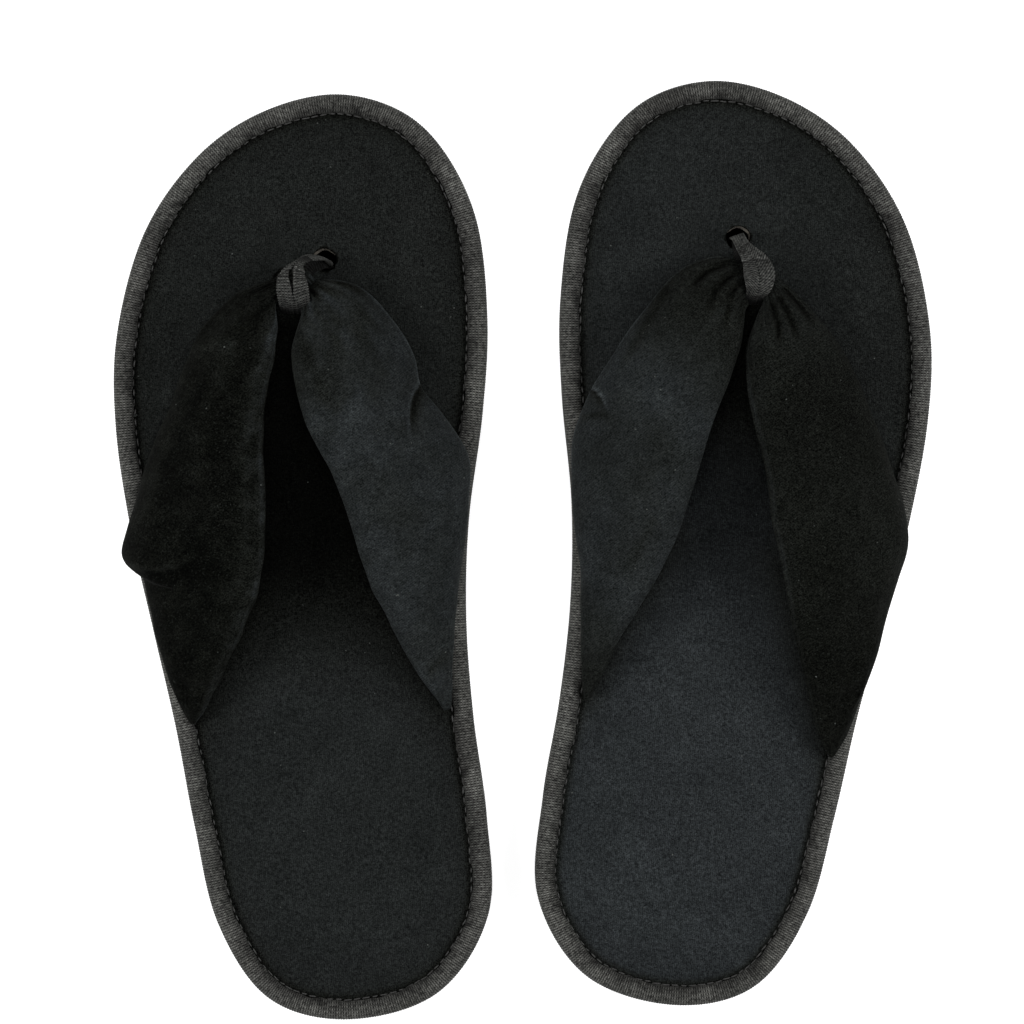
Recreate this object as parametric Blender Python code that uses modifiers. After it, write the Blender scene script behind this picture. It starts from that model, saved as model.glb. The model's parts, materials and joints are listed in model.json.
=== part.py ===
"""A pair of velvet thong slippers: layered soles, edge binding, padded V-straps and ribbon thongs.

Metres, +Z up, +Y towards the toes, origin on the floor under the middle of the pair. Each slipper is
drawn in its own frame: u grows towards the little toe, v towards the toes, z up from the floor.
"""

import math

import bmesh
import bpy
import numpy as np
from mathutils import Matrix

MM = 0.001
GAP = 0.3 * MM  # clearance between neighbouring pieces
OVERLAP = 1.0 * MM  # how far a joined or cutting shape reaches past the surface it meets

# Sole layers: heights above the floor, and how far each lies inside the sole's outline
TREAD_STEP = 1.5 * MM
TREAD_INSET = 7.5 * MM
OUTSOLE_TOP = 4.0 * MM
MIDSOLE_TOP = OUTSOLE_TOP + GAP + 3.0 * MM
BOARD_TOP = MIDSOLE_TOP + GAP + 1.2 * MM
FOOTBED_TOP = BOARD_TOP + GAP + 2.0 * MM
RIM_INSET = 2.4 * MM
CORE_INSET = 1.2 * MM
GROOVE_WIDTH = 2.4 * MM
GROOVE_DEPTH = 1.0 * MM
GROOVE_PITCH = 19.0 * MM
GROOVES_PER_HALF = 4
GROOVE_LENGTH = 150.0 * MM

# Binding tape folded round the edge of the sole, and the thread that holds it
TAPE = 0.8 * MM
TAPE_COVER = 6.0 * MM
TAPE_BOTTOM = 0.4 * MM
TAPE_TOP = FOOTBED_TOP + GAP + TAPE
TAPE_CORNER_INSET = 1.6 * MM
TAPE_CORNER_DROP = 2.4 * MM
THREAD_RADIUS = 0.25 * MM
THREAD_INSET = 5.2 * MM
THREAD_END_MARGIN = 2.0 * MM

# The sole bends across the ball of the foot
FLEX_V = 46.0 * MM
FLEX_Z = TAPE_TOP + 1.0 * MM

# Strap: a velvet tube with foam pads, whose seam allowances are sewn in under the binding
COVER_WALL = 1.4 * MM
RING_POINTS = 12
SECTION_FULLNESS = 0.8  # 1 is an ellipse, less is a fuller section
TAB = 1.0 * MM
TAB_LEG_INSET = 7.6 * MM
TAB_END_INSET = 3.0 * MM
TAB_Z = FOOTBED_TOP - 0.8 * MM
TAB_POCKET_Z = TAB_Z - TAB / 2 - GAP
TAB_POCKET_INSET = TAB_LEG_INSET + TAB / 2 + 0.8 * MM
TAB_POCKET_BEFORE = 6.0 * MM
TAB_POCKET_BEYOND = 4.0 * MM
TAB_POCKET_OUTSIDE = 2.0 * MM

# Ribbon thong and the patch that anchors its tails under the midsole
RIBBON = 0.8 * MM
RIBBON_WIDTH = 6.0 * MM
HOLE_RADIUS = 3.9 * MM
HOLE_SIDES = 20
TAIL_LENGTH = 12.0 * MM
TAIL_Z = OUTSOLE_TOP + GAP + 0.6 * MM
TAIL_POCKET_TOP = TAIL_Z + RIBBON / 2 + 0.4 * MM
TAIL_BEND = 4.0 * MM  # distance from the hole at which a tail lies flat
PATCH = (26.0 * MM, 12.0 * MM, 1.2 * MM)
NECK_BOTTOM = FOOTBED_TOP + 2.1 * MM
NECK_HEIGHT = 7.0 * MM
NECK_HALF_LENGTH = 4.2 * MM

OUTLINE_POINTS = 56
FINE_OUTLINE_POINTS = 400
STRIP_POINTS = 200

# Sole outline, (u, v) in millimetres, from the toe round the outer side to the heel and back
SOLE_OUTLINE = [
    (-12, 140.2),
    (10.5, 135),
    (30, 122),
    (46.2, 100),
    (55.4, 70),
    (56.8, 42),
    (53.2, 10),
    (47.5, -20),
    (41.6, -50),
    (36.9, -80),
    (30.7, -110),
    (16.1, -133),
    (-8, -140.2),
    (-35.2, -133),
    (-51.3, -110),
    (-51.8, -80),
    (-48.8, -50),
    (-47.6, -20),
    (-49.4, 10),
    (-54.6, 42),
    (-57.0, 70),
    (-54.8, 100),
    (-45.4, 122),
    (-31.8, 135),
]

# Strap arms, from the thong to the end sewn in at the edge. Each row crosses the arm: its outer edge
# (u, v, z), its inner edge (u, v, z), its thickness and how far its middle bulges up, in millimetres.
LEFT_LATERAL = [
    ((6.4, 85.0, 17.4), (7.4, 74.5, 18.2), 7.4, 0.3),
    ((17.0, 80.2, 17.4), (6.0, 69.5, 21.8), 8.0, 1.0),
    ((26.5, 72.0, 17.6), (7.0, 60.5, 26.0), 8.6, 2.0),
    ((35.0, 57.4, 17.6), (10.0, 46.5, 30.0), 9.0, 3.0),
    ((43.0, 38.0, 17.0), (11.0, 30.5, 33.0), 9.0, 3.6),
    ((50.8, 17.0, 16.4), (11.0, 13.5, 34.5), 9.0, 4.0),
    ((54.6, 4.5, 15.8), (12.2, -0.8, 33.5), 9.0, 4.0),
    ((50.6, -9.0, 15.6), (16.2, -14.0, 30.0), 8.4, 3.4),
    ((46.2, -22.0, 15.6), (22.0, -26.0, 25.0), 7.4, 2.4),
    ((42.0, -35.0, 15.4), (29.0, -38.0, 19.0), 5.6, 1.2),
    ((38.6, -45.5, 15.2), (33.0, -47.5, 15.8), 3.8, 0.2),
]
LEFT_MEDIAL = [
    ((-10.0, 83.2, 17.4), (-1.0, 71.8, 18.2), 7.4, 0.3),
    ((-17.0, 82.0, 17.4), (0.4, 66.4, 21.8), 8.0, 1.0),
    ((-25.0, 75.0, 17.6), (1.6, 59.5, 26.0), 8.6, 2.0),
    ((-34.2, 61.5, 17.6), (0.6, 49.5, 30.0), 9.0, 3.0),
    ((-40.8, 46.5, 17.0), (-4.0, 37.5, 33.0), 9.0, 3.6),
    ((-47.6, 33.0, 16.6), (-9.0, 25.5, 34.5), 9.0, 4.0),
    ((-49.8, 20.0, 16.0), (-14.2, 12.5, 34.0), 9.0, 4.0),
    ((-48.0, 7.5, 15.6), (-18.2, -2.0, 31.0), 8.4, 3.4),
    ((-45.6, -8.0, 15.6), (-22.6, -14.5, 26.5), 7.4, 2.4),
    ((-43.6, -24.0, 15.4), (-29.0, -28.5, 20.5), 6.0, 1.4),
    ((-42.8, -41.5, 15.2), (-37.6, -44.5, 15.8), 3.8, 0.2),
]
RIGHT_LATERAL = [
    ((8.6, 82.0, 17.4), (5.0, 69.8, 18.6), 7.4, 0.3),
    ((15.0, 76.4, 17.4), (2.2, 62.0, 22.0), 8.0, 1.0),
    ((23.2, 67.6, 17.6), (1.0, 52.5, 26.4), 8.6, 2.0),
    ((30.8, 57.6, 17.6), (2.6, 42.0, 29.6), 9.0, 3.0),
    ((37.4, 45.0, 17.2), (5.8, 30.5, 32.4), 9.0, 3.6),
    ((44.0, 31.5, 16.8), (9.2, 17.0, 34.5), 9.0, 4.0),
    ((49.8, 18.0, 16.2), (12.0, 4.5, 34.5), 9.0, 4.0),
    ((52.4, 4.0, 15.8), (15.4, -9.0, 32.0), 8.4, 3.6),
    ((49.4, -10.0, 15.6), (19.8, -24.5, 28.0), 8.0, 3.0),
    ((46.4, -26.0, 15.6), (24.8, -40.0, 22.5), 6.8, 2.0),
    ((42.6, -42.5, 15.4), (28.8, -52.0, 18.0), 5.2, 1.0),
    ((36.8, -57.6, 15.2), (32.0, -60.4, 15.8), 3.8, 0.2),
]
RIGHT_MEDIAL = [
    ((-9.0, 86.6, 17.4), (-2.6, 69.0, 18.4), 7.4, 0.3),
    ((-16.0, 84.6, 17.4), (-2.6, 63.6, 22.0), 8.0, 1.0),
    ((-24.2, 79.4, 17.6), (-2.8, 57.5, 26.4), 8.6, 2.0),
    ((-31.4, 69.0, 17.6), (-5.4, 48.5, 30.0), 9.0, 3.0),
    ((-40.0, 54.5, 17.2), (-9.4, 37.0, 33.0), 9.0, 3.6),
    ((-47.6, 39.5, 16.8), (-12.2, 23.0, 34.5), 9.0, 4.0),
    ((-50.4, 26.0, 16.2), (-15.4, 11.0, 34.0), 9.0, 4.0),
    ((-48.8, 11.0, 15.8), (-19.0, -2.5, 31.0), 8.4, 3.4),
    ((-45.8, -4.0, 15.6), (-24.6, -14.5, 26.5), 7.4, 2.4),
    ((-44.0, -21.0, 15.4), (-31.2, -28.5, 20.5), 6.0, 1.4),
    ((-43.2, -41.0, 15.2), (-38.0, -44.5, 15.8), 3.8, 0.2),
]
PAD_FIRST_ROW = 1
SEWN_FROM_V = 12.0 * MM

# Where each slipper lies and where its thong is: centre (x, y), turn of the toe to the left, side the
# little toe is on, hole (u, v), gathered neck of the strap: outer edge (u, v), inner edge (u, v)
SLIPPERS = {
    "left": {
        "centre": (-65.3, -2.4),
        "turn": 1.9,
        "side": -1,
        "hole": (-8.3, 90.0),
        "neck": ((-4.0, 85.6), (4.2, 77.2)),
        "lateral": LEFT_LATERAL,
        "medial": LEFT_MEDIAL,
    },
    "right": {
        "centre": (63.2, 1.4),
        "turn": -4.0,
        "side": 1,
        "hole": (-4.6, 93.1),
        "neck": ((-1.8, 85.8), (3.0, 73.2)),
        "lateral": RIGHT_LATERAL,
        "medial": RIGHT_MEDIAL,
    },
}

VELVET = ((0.012, 0.013, 0.015), 0.95, 0.0)
TAPE_FABRIC = ((0.035, 0.035, 0.034), 0.85, 0.0)
THREAD_BLACK = ((0.010, 0.010, 0.010), 0.7, 0.0)
RIBBON_FABRIC = ((0.055, 0.057, 0.055), 0.7, 0.0)
EVA_BLACK = ((0.020, 0.020, 0.021), 0.8, 0.0)
FOAM_GREY = ((0.420, 0.410, 0.380), 0.9, 0.0)
BOARD_BROWN = ((0.250, 0.190, 0.130), 0.85, 0.0)
WADDING = ((0.700, 0.690, 0.660), 0.95, 0.0)


def clear_scene():
    for obj in list(bpy.data.objects):
        bpy.data.objects.remove(obj, do_unlink=True)


def new_collection(name):
    found = bpy.data.collections.new(name)
    bpy.context.scene.collection.children.link(found)
    return found


def material(name, look):
    color, roughness, metallic = look
    made = bpy.data.materials.new(name)
    made.use_nodes = True
    shader = made.node_tree.nodes["Principled BSDF"]
    shader.inputs["Base Color"].default_value = (*color, 1)
    shader.inputs["Roughness"].default_value = roughness
    shader.inputs["Metallic"].default_value = metallic
    return made


def add_object(name, mesh, look=None):
    """Put a mesh in the scene as a part, or as a hidden cutter when it has no look."""
    obj = bpy.data.objects.new(name, mesh)
    if look:
        PARTS.objects.link(obj)
        mesh.materials.append(material(name, look))
    else:
        CUTTERS.objects.link(obj)
        obj.hide_render = True
        obj.display_type = "WIRE"
    return obj


def mesh_from(bm, name):
    bmesh.ops.recalc_face_normals(bm, faces=bm.faces)
    mesh = bpy.data.meshes.new(name)
    bm.to_mesh(mesh)
    bm.free()
    return mesh


def curve_to_bmesh(curve_data):
    """Mesh of a curve with its caps welded on."""
    holder = bpy.data.objects.new("outline", curve_data)
    bpy.context.scene.collection.objects.link(holder)
    evaluated = holder.evaluated_get(bpy.context.evaluated_depsgraph_get())
    mesh = bpy.data.meshes.new_from_object(evaluated)
    bm = bmesh.new()
    bm.from_mesh(mesh)
    bmesh.ops.remove_doubles(bm, verts=bm.verts, dist=0.01 * MM)
    bpy.data.objects.remove(holder, do_unlink=True)
    bpy.data.curves.remove(curve_data)
    bpy.data.meshes.remove(mesh)
    return bm


def add_spline(curve_data, points, closed=True):
    spline = curve_data.splines.new("POLY")
    spline.points.add(len(points) - 1)
    for point, place in zip(spline.points, points):
        point.co = (*place, 0, 1) if len(place) == 2 else (*place, 1)
    spline.use_cyclic_u = closed


def prism(outlines, bottom, top):
    """Flat plate with the first outline as its edge and the others as holes through it."""
    curve_data = bpy.data.curves.new("plate", "CURVE")
    curve_data.dimensions = "2D"
    curve_data.fill_mode = "BOTH"
    curve_data.extrude = (top - bottom) / 2
    for points in outlines:
        add_spline(curve_data, points)
    bm = curve_to_bmesh(curve_data)
    bmesh.ops.translate(bm, verts=bm.verts, vec=(0, 0, (top + bottom) / 2))
    return bm


def catmull_rom(points, steps, closed):
    """Smooth line through points, with steps samples for each stretch between two of them."""
    p = np.array(points, float)
    if closed:
        p = np.vstack([p[-1], p, p[0], p[1]])
    else:
        p = np.vstack([2 * p[0] - p[1], p, 2 * p[-1] - p[-2]])
    t = np.linspace(0, 1, steps, endpoint=False)[:, None]
    line = []
    for a, b, c, d in zip(p, p[1:], p[2:], p[3:]):
        bend = (2 * a - 5 * b + 4 * c - d) * t**2 + (3 * b - a - 3 * c + d) * t**3
        line.append(b + 0.5 * ((c - a) * t + bend))
    if not closed:
        line.append(p[-2:-1])
    return np.vstack(line)


def spaced_evenly(line, count):
    """The closed line again, with count points the same distance apart."""
    loop = np.vstack([line, line[:1]])
    travelled = np.r_[0, np.cumsum(np.linalg.norm(np.diff(loop, axis=0), axis=1))]
    places = np.linspace(0, travelled[-1], count, endpoint=False)
    return np.stack([np.interp(places, travelled, loop[:, k]) for k in (0, 1)], 1)


def sole_outline(inset=0.0, count=OUTLINE_POINTS):
    """The sole's outline, moved inwards by inset."""
    line = spaced_evenly(catmull_rom(SOLE_OUTLINE, 12, True) * MM, count)
    along = np.roll(line, -1, axis=0) - np.roll(line, 1, axis=0)
    along /= np.linalg.norm(along, axis=1)[:, None]
    inwards = np.stack([along[:, 1], -along[:, 0]], 1)
    return line + inset * inwards


def distance_inside(point):
    """How far a point (u, v) lies inside the sole's outline, and the inward direction there."""
    line = sole_outline(0.0, FINE_OUTLINE_POINTS)
    closest = np.argmin(np.linalg.norm(line - point, axis=1))
    nearest = line[closest]
    inwards = sole_outline(TAPE_COVER, FINE_OUTLINE_POINTS)[closest] - nearest
    inwards /= np.linalg.norm(inwards)
    return float((np.array(point) - nearest) @ inwards), inwards


def circle(centre, radius, sides):
    turns = [2 * math.pi * k / sides for k in range(sides)]
    return [(centre[0] + radius * math.cos(a), centre[1] + radius * math.sin(a)) for a in turns]


def keep_half(bm, half):
    """Cut a piece across at the bending line and keep its toe half or its heel half."""
    front = half == "front"
    cut_v = FLEX_V + (GAP / 2 if front else -GAP / 2)
    geom = list(bm.verts) + list(bm.edges) + list(bm.faces)
    normal = (0, -1, 0) if front else (0, 1, 0)
    bmesh.ops.bisect_plane(
        bm, geom=geom, plane_co=(0, cut_v, 0), plane_no=normal, clear_outer=True, dist=0.001 * MM
    )
    bmesh.ops.holes_fill(bm, edges=[e for e in bm.edges if e.is_boundary], sides=0)
    return bm


def box_cutter(name, slipper, centre, size, heading=0.0):
    """Box around a centre (u, v, z), turned in the plane of the sole."""
    bm = bmesh.new()
    bmesh.ops.create_cube(bm, size=1)
    bmesh.ops.scale(bm, vec=size, verts=bm.verts)
    bmesh.ops.rotate(bm, verts=bm.verts, cent=(0, 0, 0), matrix=Matrix.Rotation(heading, 3, "Z"))
    bmesh.ops.translate(bm, verts=bm.verts, vec=centre)
    return place(slipper, bm, name)


def place(slipper, bm, name, look=None, rear=False):
    """Give a shape drawn in (u, v, z) to its slipper, mirrored when the little toe is on the left."""
    setting = SLIPPERS[slipper]
    bmesh.ops.scale(bm, vec=(setting["side"], 1, 1), verts=bm.verts)
    if setting["side"] < 0:
        bmesh.ops.reverse_faces(bm, faces=bm.faces)
    obj = add_object(name, mesh_from(bm, name), look)
    obj.parent = EMPTIES[slipper, "flex" if rear else "sole"]
    if rear:
        obj.location = (0, -FLEX_V, -FLEX_Z)
    return obj


def boolean(obj, other, operation):
    step = obj.modifiers.new(operation.lower(), "BOOLEAN")
    step.operation = operation
    step.object = other
    step.solver = "EXACT"


def add_slipper_empties(slipper):
    """One empty carries the slipper, and a second one on the bending axis carries its heel half."""
    setting = SLIPPERS[slipper]
    sole = bpy.data.objects.new(f"{slipper}_slipper", None)
    sole.location = (setting["centre"][0] * MM, setting["centre"][1] * MM, 0)
    sole.rotation_euler = (0, 0, math.radians(setting["turn"]))
    flex = bpy.data.objects.new(f"{slipper}_flex_axis", None)
    flex.parent = sole
    flex.location = (0, FLEX_V, FLEX_Z)
    for empty in (sole, flex):
        PARTS.objects.link(empty)
    EMPTIES[slipper, "sole"] = sole
    EMPTIES[slipper, "flex"] = flex


def thong_frame(slipper):
    """Hole centre, direction from it to the strap's neck, and the neck's near and far distances."""
    setting = SLIPPERS[slipper]
    hole = np.array(setting["hole"]) * MM
    near, far = (np.array(p) * MM for p in setting["neck"])
    towards = (near + far) / 2 - hole
    towards /= np.linalg.norm(towards)
    return hole, towards, float((near - hole) @ towards), float((far - hole) @ towards)


def make_outsole(slipper, half):
    """EVA sheet with a raised tread, cross grooves and a pocket for the thong's anchor patch."""
    name = f"{slipper}_outsole_{half}"
    rim = keep_half(prism([sole_outline(RIM_INSET)], TREAD_STEP, OUTSOLE_TOP), half)
    outsole = place(slipper, rim, name, EVA_BLACK, half == "rear")
    tread = keep_half(prism([sole_outline(TREAD_INSET)], 0, TREAD_STEP + OVERLAP), half)
    boolean(outsole, place(slipper, tread, f"{name}_tread"), "UNION")
    direction = 1 if half == "front" else -1
    for k in range(GROOVES_PER_HALF):
        middle = (0, FLEX_V + direction * GROOVE_PITCH * (k + 0.5), 0)
        size = (GROOVE_LENGTH, GROOVE_WIDTH, 2 * GROOVE_DEPTH)
        groove = box_cutter(f"{name}_groove_{k + 1}", slipper, middle, size)
        boolean(outsole, groove, "DIFFERENCE")
    if half == "front":
        hole, towards, _, _ = thong_frame(slipper)
        size = tuple(side + 2 * GAP for side in PATCH)
        middle = (*hole, OUTSOLE_TOP - PATCH[2] / 2 + GAP / 2)
        heading = math.atan2(towards[1], towards[0])
        pocket = box_cutter(f"{name}_patch_pocket", slipper, middle, size, heading)
        boolean(outsole, pocket, "DIFFERENCE")


def make_midsole(slipper, half):
    """Foam layer, with the punched thong hole and a pocket for the ribbon's tails."""
    name = f"{slipper}_midsole_{half}"
    hole, towards, _, _ = thong_frame(slipper)
    outlines = [sole_outline(CORE_INSET), circle(hole, HOLE_RADIUS, HOLE_SIDES)]
    bottom = OUTSOLE_TOP + GAP
    foam = keep_half(prism(outlines, bottom, MIDSOLE_TOP), half)
    midsole = place(slipper, foam, name, FOAM_GREY, half == "rear")
    if half == "front":
        length = 2 * (TAIL_LENGTH + OVERLAP)
        size = (length, RIBBON_WIDTH + OVERLAP, 2 * (TAIL_POCKET_TOP - bottom))
        heading = math.atan2(towards[1], towards[0])
        pocket = box_cutter(f"{name}_tail_pocket", slipper, (*hole, bottom), size, heading)
        boolean(midsole, pocket, "DIFFERENCE")


def make_insole_board(slipper, half):
    """Stiff board that keeps the sole flat."""
    hole = thong_frame(slipper)[0]
    outlines = [sole_outline(CORE_INSET), circle(hole, HOLE_RADIUS, HOLE_SIDES)]
    board = keep_half(prism(outlines, MIDSOLE_TOP + GAP, BOARD_TOP), half)
    place(slipper, board, f"{slipper}_insole_board_{half}", BOARD_BROWN, half == "rear")


def edge_strip(arm, inner_inset, bottom, top):
    """Shallow block along the edge of the sole, as long as the stretch where an arm is sewn in."""
    lateral = arm[-1][0][0] > 0
    end_v = arm[-1][0][1] * MM - TAB_POCKET_BEYOND
    inside = sole_outline(inner_inset, STRIP_POINTS)
    outside = sole_outline(-TAB_POCKET_OUTSIDE, STRIP_POINTS)
    wanted = (inside[:, 0] > 0) == lateral
    wanted &= (inside[:, 1] > end_v) & (inside[:, 1] < SEWN_FROM_V + TAB_POCKET_BEFORE)
    order = np.argsort(inside[wanted][:, 1])
    outline = np.vstack([inside[wanted][order], outside[wanted][order][::-1]])
    return prism([outline], bottom, top)


def make_footbed(slipper, half):
    """Velvet on thin foam, thinned along the edge where the strap's seam allowances lie."""
    hole = thong_frame(slipper)[0]
    outlines = [sole_outline(RIM_INSET), circle(hole, HOLE_RADIUS, HOLE_SIDES)]
    sheet = keep_half(prism(outlines, BOARD_TOP + GAP, FOOTBED_TOP), half)
    footbed = place(slipper, sheet, f"{slipper}_footbed_{half}", VELVET, half == "rear")
    if half == "rear":
        for arm_name in ("lateral", "medial"):
            arm = SLIPPERS[slipper][arm_name]
            strip = edge_strip(arm, TAB_POCKET_INSET, TAB_POCKET_Z, FOOTBED_TOP + OVERLAP)
            pocket = place(slipper, strip, f"{slipper}_{arm_name}_tab_pocket")
            boolean(footbed, pocket, "DIFFERENCE")


def binding_profile():
    """Section of the folded tape as (distance inside the outline, height), outside then inside."""
    drop, corner = TAPE_CORNER_DROP, TAPE_CORNER_INSET
    outside = [
        (TAPE_COVER, TAPE_TOP),
        (corner, TAPE_TOP),
        (0, TAPE_TOP - drop),
        (0, TAPE_BOTTOM + drop),
        (corner, TAPE_BOTTOM),
        (TAPE_COVER, TAPE_BOTTOM),
    ]
    inside = [
        (TAPE_COVER, TAPE_BOTTOM + TAPE),
        (corner + 0.5 * TAPE, TAPE_BOTTOM + TAPE),
        (TAPE, TAPE_BOTTOM + drop + 0.3 * TAPE),
        (TAPE, TAPE_TOP - drop - 0.3 * TAPE),
        (corner + 0.5 * TAPE, TAPE_TOP - TAPE),
        (TAPE_COVER, TAPE_TOP - TAPE),
    ]
    return outside + inside


def make_binding(slipper, half):
    """Ribbed tape folded over the edge of all the layers, swept along the outline."""
    section = bpy.data.curves.new("tape_section", "CURVE")
    section.dimensions = "2D"
    add_spline(section, binding_profile())
    section_object = bpy.data.objects.new("tape_section", section)
    bpy.context.scene.collection.objects.link(section_object)
    sweep = bpy.data.curves.new("tape", "CURVE")
    sweep.dimensions = "2D"
    sweep.bevel_mode = "OBJECT"
    sweep.bevel_object = section_object
    add_spline(sweep, sole_outline()[::-1])
    bm = curve_to_bmesh(sweep)
    bpy.data.objects.remove(section_object, do_unlink=True)
    place(slipper, keep_half(bm, half), f"{slipper}_binding_{half}", TAPE_FABRIC, half == "rear")


def make_binding_stitch(slipper, half):
    """Thread of the seam that holds the tape's inner edge."""
    line = sole_outline(THREAD_INSET)
    toe_half = half == "front"
    past = line[:, 1] - FLEX_V if toe_half else FLEX_V - line[:, 1]
    kept = past > THREAD_END_MARGIN
    first = int(np.argmax(kept & ~np.roll(kept, 1)))
    run = np.roll(line, -first, axis=0)[: int(kept.sum())]
    height = TAPE_TOP + GAP + THREAD_RADIUS
    thread = bpy.data.curves.new("thread", "CURVE")
    thread.dimensions = "3D"
    thread.bevel_depth = THREAD_RADIUS
    thread.bevel_resolution = 0
    thread.use_fill_caps = True
    add_spline(thread, [(u, v, height) for u, v in run], closed=False)
    bm = curve_to_bmesh(thread)
    name = f"{slipper}_binding_stitch_{half}"
    place(slipper, bm, name, THREAD_BLACK, half == "rear")


def strap_rows(slipper):
    """All rows across the strap, from the inner arm's end through the neck to the outer arm's end."""
    setting = SLIPPERS[slipper]
    middle = (NECK_BOTTOM + NECK_HEIGHT / 2) / MM
    near, far = (np.array([*point, middle]) for point in setting["neck"])
    across = (far - near) / np.linalg.norm(far - near)
    shift = np.array([-across[1], across[0], 0]) * NECK_HALF_LENGTH / MM
    necks = [(near + k * shift, far + k * shift, NECK_HEIGHT / MM, 0.0) for k in (-1, 1)]
    rows = setting["medial"][::-1] + necks + setting["lateral"]
    outer = np.array([row[0] for row in rows]) * MM
    inner = np.array([row[1] for row in rows]) * MM
    return outer, inner, np.array([row[2] for row in rows]) * MM, np.array([row[3] for row in rows]) * MM


def strap_rings(slipper, shrink):
    """Closed sections of the strap, each point (u, v, z), all shrunk by the same distance."""
    outer, inner, thickness, bulge = strap_rows(slipper)
    centre = (outer + inner) / 2
    along = np.gradient(centre, axis=0)
    across = inner - outer
    half_width = np.linalg.norm(across, axis=1) / 2
    across /= 2 * half_width[:, None]
    up = np.cross(across, along)
    up /= np.linalg.norm(up, axis=1)[:, None]
    turn = 2 * math.pi * np.arange(RING_POINTS) / RING_POINTS
    side = np.cos(turn)
    rise = np.sign(np.sin(turn)) * np.abs(np.sin(turn)) ** SECTION_FULLNESS
    rings = []
    for k in range(len(centre)):
        x = (half_width[k] - shrink) * side
        y = (thickness[k] / 2 - shrink) * rise
        y = y + bulge[k] * (1 - (x / half_width[k]) ** 2)
        rings.append(centre[k] + x[:, None] * across[k] + y[:, None] * up[k])
    return rings


def add_rings(bm, rings):
    """Skin of triangles from ring to ring, and the rings' vertices."""
    made = [[bm.verts.new(point) for point in ring] for ring in rings]
    for ring, following in zip(made, made[1:]):
        for k in range(len(ring)):
            j = (k + 1) % len(ring)
            bm.faces.new((ring[k], ring[j], following[j]))
            bm.faces.new((ring[k], following[j], following[k]))
    return made


def point_above_edge(ring, inset):
    """Point of a section's underside that lies above the line at this inset from the sole's edge."""
    under = ring[RING_POINTS // 2 :]
    depths = [distance_inside(point[:2])[0] for point in under]
    for (a, depth_a), (b, depth_b) in zip(zip(under, depths), zip(under[1:], depths[1:])):
        if min(depth_a, depth_b) <= inset <= max(depth_a, depth_b):
            return a + (b - a) * (inset - depth_a) / (depth_b - depth_a)
    return under[int(np.argmin([abs(depth - inset) for depth in depths]))]


def make_tab(slipper, arm_name):
    """Seam allowance of one arm: down from the tube's underside, then out under the binding."""
    setting = SLIPPERS[slipper]
    middle_rings = strap_rings(slipper, COVER_WALL / 2)
    last_rings = middle_rings[-1::-1] if arm_name == "lateral" else middle_rings
    arm_rings = last_rings[: len(setting[arm_name])]
    sewn = [ring for ring in arm_rings if ring[RING_POINTS // 2][1] < SEWN_FROM_V]
    bm = bmesh.new()
    rows = []
    for ring in sewn:
        top = point_above_edge(ring, TAB_LEG_INSET)
        depth, inwards = distance_inside(top[:2])
        knee = top[:2] + (TAB_LEG_INSET - depth) * inwards
        end = top[:2] + (TAB_END_INSET - depth) * inwards
        points = [tuple(top), (*knee, TAB_Z), (*end, TAB_Z)]
        rows.append([bm.verts.new(point) for point in points])
    for row, following in zip(rows, rows[1:]):
        for k in range(len(row) - 1):
            bm.faces.new((row[k], row[k + 1], following[k + 1], following[k]))
    tab = place(slipper, bm, f"{slipper}_{arm_name}_tab")
    thicken = tab.modifiers.new("thickness", "SOLIDIFY")
    thicken.thickness = TAB
    thicken.offset = 0
    thicken.use_even_offset = True
    return tab


def make_strap_cover(slipper):
    """Velvet tube of both arms and the gathered neck, open at its two sewn ends."""
    bm = bmesh.new()
    outside = add_rings(bm, strap_rings(slipper, 0.0))
    inside = add_rings(bm, strap_rings(slipper, COVER_WALL))
    for end in (0, -1):
        for k in range(RING_POINTS):
            j = (k + 1) % RING_POINTS
            bm.faces.new((outside[end][k], outside[end][j], inside[end][j], inside[end][k]))
    cover = place(slipper, bm, f"{slipper}_strap_cover", VELVET, rear=True)
    for arm_name in ("lateral", "medial"):
        boolean(cover, make_tab(slipper, arm_name), "UNION")


def make_strap_pad(slipper, arm_name):
    """Foam filling of one arm."""
    rings = strap_rings(slipper, COVER_WALL + GAP)
    neck = len(SLIPPERS[slipper]["medial"])
    if arm_name == "medial":
        rings = rings[1 : neck - PAD_FIRST_ROW]
    else:
        rings = rings[neck + 2 + PAD_FIRST_ROW : -1]
    bm = bmesh.new()
    made = add_rings(bm, rings)
    bm.faces.new(made[0])
    bm.faces.new(made[-1])
    place(slipper, bm, f"{slipper}_strap_pad_{arm_name}", WADDING, rear=True)


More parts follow.
